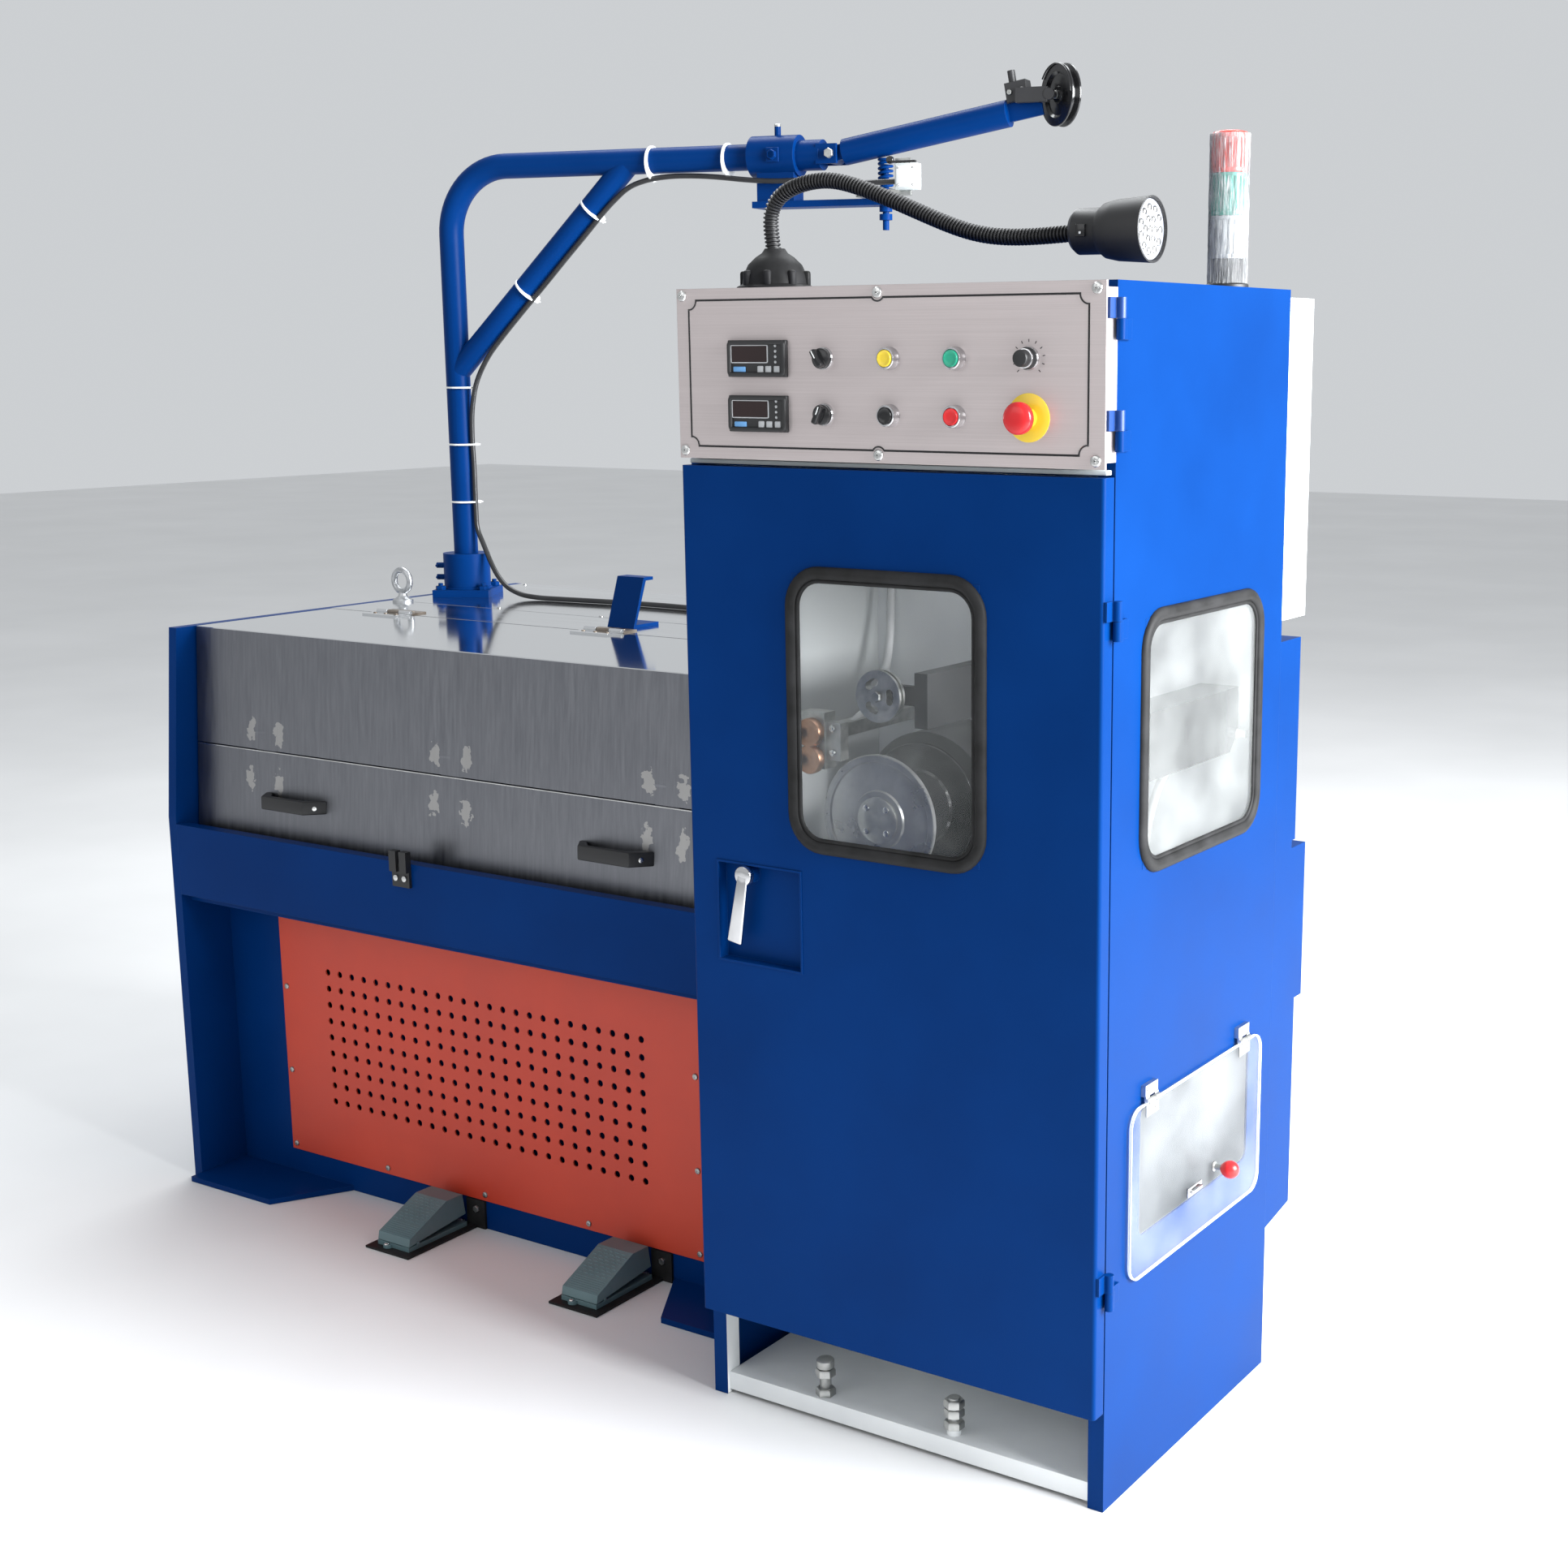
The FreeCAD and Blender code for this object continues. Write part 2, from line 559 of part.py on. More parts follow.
node("cabinet_shell", cabinet_shell())
node("base_pan", base_pan())
node("spindle_wall", spindle_wall())
node("chamber_brackets", chamber_brackets())
node("die_holder", die_holder())
node("traverse_drive", traverse_drive())
node("side_window_seal", window_seal("y"))
node("side_window_pane", side_pane())
node("signal_tower", signal_tower())
node("work_lamp", work_lamp())
node("rear_housing", rear_housing())
node("cabinet_hinges", cabinet_hinges())


# ---------------------------------------------------------------- door and control panel
CONTROLS = [("column_one", "row_top"), ("column_one", "row_low"), ("column_two", "row_top"),
            ("column_two", "row_low"), ("column_three", "row_top"), ("column_three", "row_low"),
            ("column_four", "row_top"), ("column_four", "row_low")]


def door_panel():
    """Folded door with a window hole, a hole for the handle's cup and the upper hinge halves."""
    back = "(cab_front - front_gap)"
    outer = rounded(block("door_left", FACE, "door_bottom", "door_width", "door_thick", "door_height"), 5, UP)
    hollow = block("door_left + 14", f"{FACE} + door_skin", "door_bottom + 14", "door_width - 28",
                   "door_thick", "door_height - 28")
    window = window_hole("x", "front_window_left", "front_window_bottom", "front_window_width",
                         "front_window_high", (f"{FACE} - 1", "door_thick + 2"))
    cup = block("cup_left", f"{FACE} - 1", "cup_bottom", "cup_side", "door_skin + 2", "cup_side")
    return join(less(outer, hollow, window, cup), *[hinge_half(bottom, False) for bottom in DOOR_HINGES])


def door_pane():
    """Clear pane in the door's hole, behind its seal."""
    return block("front_window_left + seal_width/2", FACE, "front_window_bottom + seal_width/2",
                 "front_window_width - seal_width", "pane", "front_window_high - seal_width")


def handle_cup():
    """Black cup let into the door, with the lever's round boss."""
    cup = block("cup_left", f"{FACE} - 1.5", "cup_bottom", "cup_side", "cup_deep + 1.5", "cup_side")
    hollow = block("cup_left + 3", f"{FACE} - 2", "cup_bottom + 3", "cup_side - 6", "cup_deep - 1", "cup_side - 6")
    boss = rod(13, "cup_deep - 1", "lever_across", FACE, "lever_height", TO_Y)
    return join(less(cup, hollow), boss)


def lever():
    """Round hub and a flat lever that hangs from it."""
    hub = rod(15, 9, "lever_across", f"{FACE} - 9.3", "lever_height", TO_Y)
    blade = block("-9", 0, "-lever_long", 18, 7, "lever_long")
    blade_turned = join(blade, block(-12, 0, "-lever_long", 24, 7, 14))
    put(blade_turned, "lever_across", f"{FACE} - 8.3", "lever_height", FreeCAD.Rotation(BACK, size("lever_lean")))
    return join(hub, blade_turned)


def console_plate():
    """Brushed plate on a shallow tray, drilled for its controls, with the upper hinge halves."""
    deep = "(door_thick - console_plate)"
    tray = block("door_left + 8", f"{FACE} + console_plate - 1", "console_bottom + 8", "door_width - 8",
                 f"{deep} + 1", "console_high - 16")
    hollow = block("door_left + 20", f"{FACE} + console_plate", "console_bottom + 20", "door_width - 32",
                   "door_thick", "console_high - 40")
    plate = block("door_left", FACE, "console_bottom", "door_width", "console_plate", "console_high")
    holes = [block("meter_left + 2", f"{FACE} - 1", f"{row} - meter_high/2 + 2", "meter_wide - 4",
                   "console_plate + 2", "meter_high - 4") for row in ("row_top", "row_low")]
    for column, row in CONTROLS:
        holes.append(rod("button_radius", "console_plate + 2", column, f"{FACE} - 1", row, TO_Y))
    body = less(join(plate, less(tray, hollow)), *holes)
    return join(body, *[hinge_half(bottom, False) for bottom in CONSOLE_HINGES])


def meters():
    """Two black digital meters set in the plate."""
    pieces = []
    for row in ("row_top", "row_low"):
        pieces.append(block("meter_left", f"{FACE} - meter_proud", f"{row} - meter_high/2", "meter_wide",
                            "meter_proud", "meter_high"))
        pieces.append(block("meter_left + 2", FACE, f"{row} - meter_high/2 + 2", "meter_wide - 4", 22,
                            "meter_high - 4"))
    return join(*pieces)


def bezels():
    """Metal rings round the controls, each with its body behind the plate."""
    rings = []
    for column, row in CONTROLS:
        ring = rod("bezel_radius", "bezel_proud", column, f"{FACE} - bezel_proud", row, TO_Y)
        barrel = rod("button_radius", "console_plate + 12", column, FACE, row, TO_Y)
        bore = rod("button_radius - 2", "bezel_proud + console_plate + 10", column, f"{FACE} - bezel_proud - 1", row,
                   TO_Y)
        rings.append(less(join(ring, barrel), bore))
    return join(*rings)


def control(column, row, cap):
    """A stem in the ring's bore, and the given cap in front of it."""
    stem = rod("button_radius - 2 - button_gap", "bezel_proud + 6", column, f"{FACE} - bezel_proud - 0.5", row, TO_Y)
    return join(stem, cap)


def push_button(column, row):
    """A flat round cap on its stem, clear of its ring by more than its travel."""
    y = f"{FACE} - bezel_proud - button_proud"
    return control(column, row, rod("button_radius - 2 - button_gap", "button_proud", column, y, row, TO_Y))


def selector(row):
    """Black switch: a round base with a grip across it."""
    y = f"{FACE} - bezel_proud"
    base = rod("bezel_radius - 1", 3, "column_one", f"{y} - 3.3", row, TO_Y)
    grip = block("column_one - 4", f"{y} - 15", f"{row} - bezel_radius + 2", 8, 12, "2*bezel_radius - 4")
    return control("column_one", row, join(base, grip))


def speed_knob():
    """Black knob with a narrower front."""
    y = f"{FACE} - bezel_proud"
    skirt = rod("bezel_radius", 4, "column_four", f"{y} - 4.3", "row_top", TO_Y)
    top = taper(10, 12, 14, "column_four", f"{y} - 18", "row_top", TO_Y)
    return control("column_four", "row_top", join(skirt, top))


def stop_button():
    """Red mushroom head on its stem."""
    y = f"{FACE} - bezel_proud"
    head = rod("stop_radius", 12, "column_four", f"{y} - 28", "row_low", TO_Y)
    neck = rod("button_radius - 2 - button_gap", 17, "column_four", f"{y} - 17", "row_low", TO_Y)
    return control("column_four", "row_low", join(head, neck))


node("door_panel", door_panel())
node("door_window_seal", window_seal("x"))
node("door_window_pane", door_pane())
node("handle_cup", handle_cup())
node("door_lever", lever())
node("console_plate", console_plate())
node("console_meters", meters())
node("control_rings", bezels())
node("button_yellow", push_button("column_two", "row_top"))
node("button_black", push_button("column_two", "row_low"))
node("button_green", push_button("column_three", "row_top"))
node("button_red", push_button("column_three", "row_low"))
node("selector_upper", selector("row_top"))
node("selector_lower", selector("row_low"))
node("speed_knob", speed_knob())
node("stop_button", stop_button())


# ---------------------------------------------------------------- clear cover of the threading hatch
COVER_X = f"({CAB_RIGHT} + cover_gap)"
COVER_AXIS = "(cover_bottom + cover_high + 5)"
HATCH_HINGES = ("cover_front + 38", "cover_front + 332")


def side_cover():
    """Rounded clear sheet with a red ball on a short stem."""
    sheet_piece = rounded(block(COVER_X, "cover_front", "cover_bottom", "cover_thick", "cover_width", "cover_high"),
                          26, ALONG)
    return sheet_piece


def cover_fittings():
    """What the clear sheet carries: the ball with its stem, the latch and the lower hinge leaves."""
    out = f"({COVER_X} + cover_thick)"
    stem = rod(4, 16, out, "cover_front + 256", "cover_bottom + 86", TO_X)
    ball = doc.addObject("Part::Sphere", "Ball")
    put(bind(ball, Radius="13"), f"{out} + 26", "cover_front + 256", "cover_bottom + 86")
    latch = block(out, "cover_front + 168", "cover_bottom + 68", 8, 44, 14)
    leaves = []
    for y in HATCH_HINGES:
        leaves.append(block(out, y, "cover_bottom + cover_high - 18", 2, 36, 17))
        leaves.append(block(out, f"{y} + 11", "cover_bottom + cover_high - 2", 2, 14, 6))
        leaves.append(rod(3.2, 15.4, f"{out} + 1", f"{y} + 10.3", COVER_AXIS, TO_Y))
    return join(stem, ball, latch, *leaves)


def cover_hinges():
    """The fixed leaves above the clear sheet."""
    out = f"({COVER_X} + cover_thick)"
    leaves = []
    for y in HATCH_HINGES:
        leaves.append(block(CAB_RIGHT, y, f"{COVER_AXIS} + 5", "cover_gap + cover_thick", 36, 16))
        for offset in (0, 26):
            leaves.append(rod(3.2, 10, f"{out} + 1", f"{y} + {offset}", COVER_AXIS, TO_Y))
            leaves.append(block(f"{out} - 2", f"{y} + {offset}", COVER_AXIS, 3, 10, 6))
    return join(*leaves)


node("side_cover", side_cover())
node("side_cover_fittings", cover_fittings())


# ---------------------------------------------------------------- drawing unit
UNIT_RIGHT = "cab_left"
UNIT_LONG = "(cab_left - unit_left)"


def foot(x, outward):
    """Flat foot in front of the lower panel; its free end splays back."""
    inner = f"foot_wide*{outward}"
    splay = f"(foot_wide + foot_splay)*{outward}"
    corners = [(0, "foot_front"), (inner, "foot_front"), (splay, "recess_front"), (0, "recess_front")]
    return prism("XY_Plane", corners, "foot_thick", x)


def unit_body():
    """Set-back lower housing, trough floor, rear housing, right-hand wall and two feet."""
    lower = block("unit_left", "recess_front", 0, UNIT_LONG, "unit_rear - recess_front", "beam_bottom")
    vent = block("grille_left + vent_margin", "recess_front - 1", "grille_bottom + vent_margin",
                 "grille_width - 2*vent_margin", "vent_deep + 1", "grille_high - 2*vent_margin")
    floor = block("unit_left", "unit_front + beam_deep", "beam_bottom - trough_floor", UNIT_LONG,
                  "recess_front - unit_front", "trough_floor")
    rear = block("unit_left", "trough_rear", "beam_bottom - 1", UNIT_LONG, "unit_rear - trough_rear",
                 "unit_top - deck - beam_bottom + 1")
    right = block(f"{UNIT_RIGHT} - unit_wall", CAB_REAR, "beam_bottom - 1", "unit_wall",
                  f"trough_rear - {CAB_REAR} + 1", "unit_top - beam_bottom - 30")
    feet = [foot("unit_left", 1), foot(UNIT_RIGHT, -1)]
    return join(less(lower, vent), floor, rear, right, *feet)


def end_plate():
    """Thick end plate whose front leans back beside the lid."""
    corners = [("unit_front", 0), ("unit_rear", 0), ("unit_rear", "unit_top"), ("lid_front - 41", "unit_top"),
               ("unit_front", "beam_bottom + beam_high + 12")]
    return prism("YZ_Plane", corners, "end_plate", "unit_left - end_plate")


def front_beam():
    """Deep box beam along the foot of the lid."""
    return block("unit_left", "unit_front", "beam_bottom", UNIT_LONG, "beam_deep", "beam_high")


def perforated_panel():
    """Flat panel with a field of round holes."""
    body = doc.addObject("PartDesign::Body", "Prism")
    pad = body.newObject("PartDesign::Pad", "Pad")
    pad.Profile = sketch_outline(body, "XZ_Plane", [(0, 0), ("grille_width", 0), ("grille_width", "grille_high"),
                                                    (0, "grille_high")])
    bind(pad, Length="grille_thick")
    doc.recompute()
    first = body.newObject("Sketcher::SketchObject", "FirstHole")
    first.AttachmentSupport = [(plane(body, "XZ_Plane"), "")]
    first.MapMode = "FlatFace"
    first.addGeometry(Part.Circle(Vector(50, 50, 0), UP, 6), False)
    for kind, text, args in (("DistanceX", "(grille_width - (grille_across - 1)*grille_pitch)/2", (-1, 1, 0, 3)),
                             ("DistanceY", "grille_low - grille_bottom", (-1, 1, 0, 3)),
                             ("Radius", "grille_hole/2", (0,))):
        held = first.addConstraint(Sketcher.Constraint(kind, *args, size(text)))
        first.setExpression(f"Constraints[{held}]", formula(text))
    hole = body.newObject("PartDesign::Pocket", "Hole")
    hole.Profile = first
    hole.Type = "ThroughAll"
    hole.Midplane = True
    doc.recompute()
    field = body.newObject("PartDesign::MultiTransform", "Field")
    field.Originals = [hole]
    runs = []
    for axis, count in (("H_Axis", "grille_across"), ("V_Axis", "grille_rows")):
        run = body.newObject("PartDesign::LinearPattern", "Run")
        run.Direction = (first, [axis])
        run.Mode = "Spacing"
        bind(run, Occurrences=count, Offset="grille_pitch")
        runs.append(run)
    field.Transformations = runs
    body.Tip = field
    return put(body, "grille_left", "recess_front", "grille_bottom")


def deck_sheets():
    """Two bright sheets on the rear housing with a seam between them."""
    x, long = "unit_left", f"{UNIT_LONG} - unit_wall/2"
    z = "unit_top - deck"
    front = block(x, "lid_hinge + seam_gap", z, long, "deck_seam - lid_hinge - seam_gap", "deck")
    rear = block(x, "deck_seam + seam_gap", z, long, "unit_rear - deck_seam - seam_gap", "deck")
    return join(front, rear)


LEAF_X = ("lid_hinge_one", "lid_hinge_two")
LID_AXIS = "(unit_top + lid_hinge_rise)"


def deck_hinges():
    """Rear leaves of the lid's flat hinges, with the middle knuckles."""
    pieces = []
    for x in LEAF_X:
        pieces.append(block(f"{x} - leaf_wide/2", "lid_hinge + 4", "unit_top", "leaf_wide", "leaf_long", "leaf_thick"))
        pieces.append(rod(4, "leaf_wide/3 - 1", f"{x} - leaf_wide/6 + 0.5", "lid_hinge", LID_AXIS, TO_X))
        pieces.append(block(f"{x} - leaf_wide/6 + 0.5", "lid_hinge", "unit_top", "leaf_wide/3 - 1", 6, "leaf_thick"))
    return join(*pieces)


def lid_stop():
    """Bent strip behind the lid that holds it when it is laid back."""
    lean, high, thick = "stop_lean", "stop_high", "stop_thick"
    corners = [(0, 0), (70, 0), (70, thick), (f"{thick} + 2", thick), (f"{lean} + {thick}", f"{high} - {thick}"),
               (f"{lean} + 26", f"{high} - {thick}"), (f"{lean} + 26", high), (lean, high)]
    return prism("YZ_Plane", corners, "stop_wide", "lid_hinge_two - 45", "stop_foot", "unit_top")


def eyebolt():
    """Forged lifting ring on a round collar."""
    x, y = "unit_left + 37", "lid_hinge + 158"
    ring = doc.addObject("Part::Torus", "Ring")
    put(bind(ring, Radius1="23", Radius2="7"), x, y, "unit_top + 42",
        FreeCAD.Rotation(Vector(0, 0, 1), 35) * FreeCAD.Rotation(ALONG, 90))
    collar = rod(17, 12, x, y, "unit_top")
    neck = rod(9, 10, x, y, "unit_top + 8")
    return join(ring, collar, neck)


def lid_catch():
    """Black catch on the beam that holds the foot of the lid."""
    top = "beam_bottom + beam_high"
    plate = block("catch_left", "unit_front - 6", f"{top} - 41", "catch_wide", 6, 41)
    prong = "catch_wide/2 - 4"
    prongs = [block(f"catch_left + {start}", "unit_front - 12", f"{top} - 14", prong, 12, 36)
              for start in ("0", "catch_wide/2 + 4")]
    return join(plate, *prongs)


node("unit_body", unit_body())
node("end_plate", end_plate())
node("front_beam", front_beam())
node("perforated_panel", perforated_panel())
node("deck_sheets", deck_sheets())
node("bright_hinges", join(deck_hinges(), cover_hinges()))
node("lid_stop", lid_stop())
node("eyebolt", eyebolt())
node("lid_catch", lid_catch())


# ---------------------------------------------------------------- folding lid
LEAN = "tan(lid_lean)"
LID_LEFT = "(unit_left + lid_gap)"
LID_LONG = "(cab_left - unit_left - 2*lid_gap)"
FOLD_HINGES = (0.117, 0.458, 0.805)
SEAM_Y = f"(lid_front - (unit_top - lid_seam)*{LEAN})"
FOOT_Y = f"(lid_front - (unit_top - lid_foot)*{LEAN})"
FOLD_Y = f"({SEAM_Y} + lid_sheet + 4)"


def lid_upper():
    """Top sheet with the upper part of the leaning front, the front hinge leaves and the fold's pin line."""
    t = "lid_sheet"
    corners = [("lid_hinge - seam_gap/2", "unit_top"), ("lid_front", "unit_top"), (SEAM_Y, "lid_seam + 1"),
               (f"{SEAM_Y} + {t}", "lid_seam + 1"), (f"lid_front + {t}", f"unit_top - {t}"),
               ("lid_hinge - seam_gap/2", f"unit_top - {t}")]
    pieces = [prism("YZ_Plane", corners, LID_LONG, LID_LEFT)]
    for x in LEAF_X:
        pieces.append(block(f"{x} - leaf_wide/2", "lid_hinge - 4 - leaf_long", "unit_top", "leaf_wide", "leaf_long",
                            "leaf_thick"))
        for side in ("-leaf_wide/2", "leaf_wide/6 + 0.5"):
            pieces.append(rod(4, "leaf_wide/3 - 0.5", f"{x} + {side}", "lid_hinge", LID_AXIS, TO_X))
            pieces.append(block(f"{x} + {side}", "lid_hinge - 6", "unit_top", "leaf_wide/3 - 0.5", 6, "leaf_thick"))
    for share in FOLD_HINGES:
        x = f"({LID_LEFT} + {share}*{LID_LONG})"
        pieces.append(rod(4, 24, x, FOLD_Y, "lid_seam", TO_X))
        pieces.append(prism("YZ_Plane", [(f"{SEAM_Y} + 2", "lid_seam + 3"), (f"{FOLD_Y} + 1", "lid_seam - 1"),
                                         (f"{FOLD_Y} + 2", "lid_seam + 34"), (f"{SEAM_Y} + 2", "lid_seam + 34")],
                            24, x))
    return join(*pieces)


def lid_flap():
    """Lower part of the lid's front, with the knuckles it turns on."""
    t = "lid_sheet"
    corners = [(SEAM_Y, "lid_seam - 1"), (FOOT_Y, "lid_foot"), (f"{FOOT_Y} + {t}", "lid_foot"),
               (f"{SEAM_Y} + {t}", "lid_seam - 1")]
    pieces = [prism("YZ_Plane", corners, LID_LONG, LID_LEFT)]
    for share in FOLD_HINGES:
        x = f"({LID_LEFT} + {share}*{LID_LONG} + 25)"
        pieces.append(rod(4, 24, x, FOLD_Y, "lid_seam", TO_X))
        pieces.append(prism("YZ_Plane", [(f"{SEAM_Y} + 2", "lid_seam - 3"), (f"{SEAM_Y} - 1", "lid_seam - 34"),
                                         (f"{FOLD_Y} + 2", "lid_seam - 34"), (f"{FOLD_Y} + 2", "lid_seam")],
                            24, x))
    return join(*pieces)


def lid_grips():
    """Two black bow handles with slanting ends, cut flush with the flap's leaning face."""
    grips = []
    face = f"(lid_front - (unit_top - grip_height)*{LEAN})"
    for x in ("grip_one", "grip_two"):
        end, front, inner = "grip_long/2", "(grip_long/2 - 26)", "(grip_long/2 - 40)"
        corners = [(f"-{end}", 4), (f"-{end}", 0), (f"-{front}", "-grip_deep"), (front, "-grip_deep"), (end, 0),
                   (end, 4), ("grip_long/2 - 16", 4), (inner, "grip_bar - grip_deep"),
                   (f"-{inner}", "grip_bar - grip_deep"), ("16 - grip_long/2", 4)]
        grips.append(prism("XY_Plane", corners, "grip_high", x, face, "grip_height - grip_high/2"))
    behind = prism("YZ_Plane", [(SEAM_Y, "lid_seam"), (FOOT_Y, "lid_foot"), (f"{FOOT_Y} + 40", "lid_foot"),
                                (f"{SEAM_Y} + 40", "lid_seam")], LID_LONG, LID_LEFT)
    return less(join(*grips), behind)


node("lid_upper", lid_upper())
node("lid_flap", lid_flap())
node("lid_grips", lid_grips())


# ---------------------------------------------------------------- overhead arm
def swing(piece, height=0):
    """Turns a piece made along +X round the mast's centre line."""
    return put(piece, "mast_across", "mast_back", height, FreeCAD.Rotation(UP, size("mast_turn")))


def mast_base():
    """Turned square plate and the socket that the mast stands in, with two clamp screws."""
    plate = block("-base_side/2", "-base_side/2", 0, "base_side", "base_side", "base_thick")
    socket = rod("socket_radius", "socket_high", 0, 0, "base_thick")
    bore = rod("tube_radius + running", "socket_high + 1", 0, 0, "base_thick + 2")
    screws = [rod(5, 22, "-socket_radius - 16", 0, f"base_thick + {z}", TO_X) for z in (22, 46)]
    bolts = [rod(8, 8, f"{a}*(base_side/2 - 14)", f"{b}*(base_side/2 - 14)", "base_thick")
             for a in (-1, 1) for b in (-1, 1)]
    whole = join(less(join(plate, socket), bore), *screws, *bolts)
    return put(whole, "mast_across", "mast_back", "unit_top", FreeCAD.Rotation(UP, size("base_turn")))


def arm_tube():
    """Bent tube of the mast and the level arm, with its diagonal strut."""
    foot_z = size("unit_top + base_thick + 2")
    height, reach = size("arm_height"), size("arm_reach")
    route = [Vector(0, 0, foot_z), Vector(0, 0, height), Vector(reach, 0, height)]
    tube = bent_tube(route, [size("bend_radius")], size("tube_radius"), size("tube_radius - tube_wall"))
    low, out = size("strut_low"), size("strut_out")
    strut_line = [Vector(0, 0, low), Vector(out, 0, height)]
    way = strut_line[1] - strut_line[0]
    strut = Part.makeCylinder(size("tube_radius - 1"), way.Length, strut_line[0], way)
    solid_arm = bent_tube(route, [size("bend_radius")], size("tube_radius"))
    return swing(shaped(tube.fuse(strut.cut(solid_arm))))


def arm_head():
    """Larger tube and collar clamped on the arm's end, with the fork of the dancer arm's pivot."""
    tube = rod("head_radius", "pivot_out - 24 - collar_start - 30", "collar_start + 30", 0, "arm_height", TO_X)
    collar = rod("collar_radius", "collar_long", "collar_start", 0, "arm_height", TO_X)
    bore = rod("tube_radius + running", "arm_reach - collar_start + 1", "collar_start - 1", 0, "arm_height", TO_X)
    screw = rod(6, 20, "collar_start + 50", 0, "arm_height + collar_radius - 4")
    side_screw = rod(6, 14, "collar_start + 56", "-collar_radius + 4", "arm_height", FreeCAD.Rotation(ALONG, 90))
    cheeks = [block("pivot_out - 30", side, "arm_height - 18", 42, 6, 36) for side in ("-26", "20")]
    pin = rod(6, 62, "pivot_out", -31, "arm_height", TO_Y)
    block_up = block("tray_start + 8", -22, "tray_low + tray_thick - 1", 76, 44, "arm_height - collar_radius - tray_low")
    tray = block("tray_start", "-tray_wide/2", "tray_low", "tray_long", "tray_wide", "tray_thick")
    bolt = rod("bolt_radius", "tray_thick + 104", "spring_out", 0, "tray_low - 44")
    nuts = [rod(12, 11, "spring_out", 0, f"tray_low - {drop}") for drop in (11, 26)]
    return swing(join(less(join(tube, collar), bore), screw, side_screw, *cheeks, pin, block_up, tray, bolt, *nuts))


def arm_spring():
    """Sleeve the size of the coil spring, which ends just under the raised dancer arm."""
    under_arm = ("arm_height + (spring_out - spring_radius - pivot_out)*tan(dancer_rise)"
                 " - tube_radius/cos(dancer_rise)")
    coil = rod("spring_radius", f"{under_arm} - 0.3 - tray_low - tray_thick", "spring_out", 0,
               "tray_low + tray_thick")
    core = rod("bolt_radius + 1", 100, "spring_out", 0, "tray_low")
    return swing(less(coil, core))


def limit_switch():
    """Switch with its bracket beside the spring."""
    arm = block(900, -60, "tray_low + 40", 110, 5, 40)
    body = block(986, -84, "tray_low + 22", 44, 24, 46)
    bridge = block(900, -60, "tray_low + tray_thick", 24, 34, 4)
    return swing(join(arm, body, bridge, block(900, -60, "tray_low + tray_thick", 24, 5, 30)))


def dancer(piece):
    """Places a piece made along +X from the pivot in the raised dancer arm's line."""
    turn = FreeCAD.Rotation(UP, size("mast_turn")) * FreeCAD.Rotation(BACK, -size("dancer_rise"))
    return put(piece, "mast_across + pivot_out*cos(mast_turn)", "mast_back + pivot_out*sin(mast_turn)",
               "arm_height", turn)


def dancer_arm():
    """Tube on a rounded knuckle, ending in a flat tip."""
    knuckle = rod(18, 34, 0, -17, 0, TO_Y)
    eye = rod("6 + running", 36, 0, -18, 0, TO_Y)
    neck = block(0, -17, -14, 24, 34, 28)
    tube = rod("tube_radius", "dancer_long - 20", 20, 0, 0, TO_X)
    hollow = rod("tube_radius - tube_wall", "dancer_long - 44", 30, 0, 0, TO_X)
    tip = block("dancer_long - 6", -4, -16, "tip_long + 6", 8, 32)
    return dancer(less(join(knuckle, neck, tube, tip), hollow, eye))


WHEEL_X = "(mast_across + wheel_out*cos(mast_turn))"
WHEEL_Y = "(mast_back + wheel_out*sin(mast_turn))"
WHEEL_HEADING = FreeCAD.Rotation(UP, size("wheel_turn")) * TO_X


def wheel_bracket():
    """Black clamp on the tip, with the bar and pin that carry the guide wheel."""
    clamp = join(block("dancer_long + 4", -16, 16, 40, 32, 34), rod(7, 24, "dancer_long + 16", 0, 48))
    bar = swing(join(block("wheel_out - 78", -26, "wheel_height - 13", 60, 14, 26),
                     rod(10, 10, "wheel_out - 15", -27, "wheel_height", TO_Y)))
    pin = rod(5, 42, f"{WHEEL_X} - 26*cos(wheel_turn)", f"{WHEEL_Y} - 26*sin(wheel_turn)", "wheel_height",
              WHEEL_HEADING)
    return join(dancer(clamp), bar, pin)


def guide_wheel():
    """Grooved wheel."""
    rim = rod("wheel_radius", 6, 0, 0, "-wheel_wide/2")
    far = rod("wheel_radius", 6, 0, 0, "wheel_wide/2 - 6")
    core = rod("wheel_radius - 10", "wheel_wide", 0, 0, "-wheel_wide/2")
    bore = rod("5 + running", "wheel_wide + 2", 0, 0, "-wheel_wide/2 - 1")
    return put(less(join(rim, far, core), bore), WHEEL_X, WHEEL_Y, "wheel_height", WHEEL_HEADING)


def cord(points, radius):
    """A cord's solid: straight runs joined by the largest arcs that they leave room for."""
    bends = []
    for number in range(1, len(points) - 1):
        before, after = points[number] - points[number - 1], points[number + 1] - points[number]
        half = before.getAngle(after) / 2
        bends.append(0.45 * min(before.Length, after.Length) / math.tan(half))
    print("cord radii", [round(bend) for bend in bends])
    return shaped(bent_tube(points, bends, radius))


CORD_RADIUS = 5


def along_arm(out, height, side=0):
    """A point beside the arm, from its reach, height and side."""
    turn = math.radians(size("mast_turn"))
    return Vector(size("mast_across") + out * math.cos(turn) - side * math.sin(turn),
                  size("mast_back") + out * math.sin(turn) + side * math.cos(turn), height)


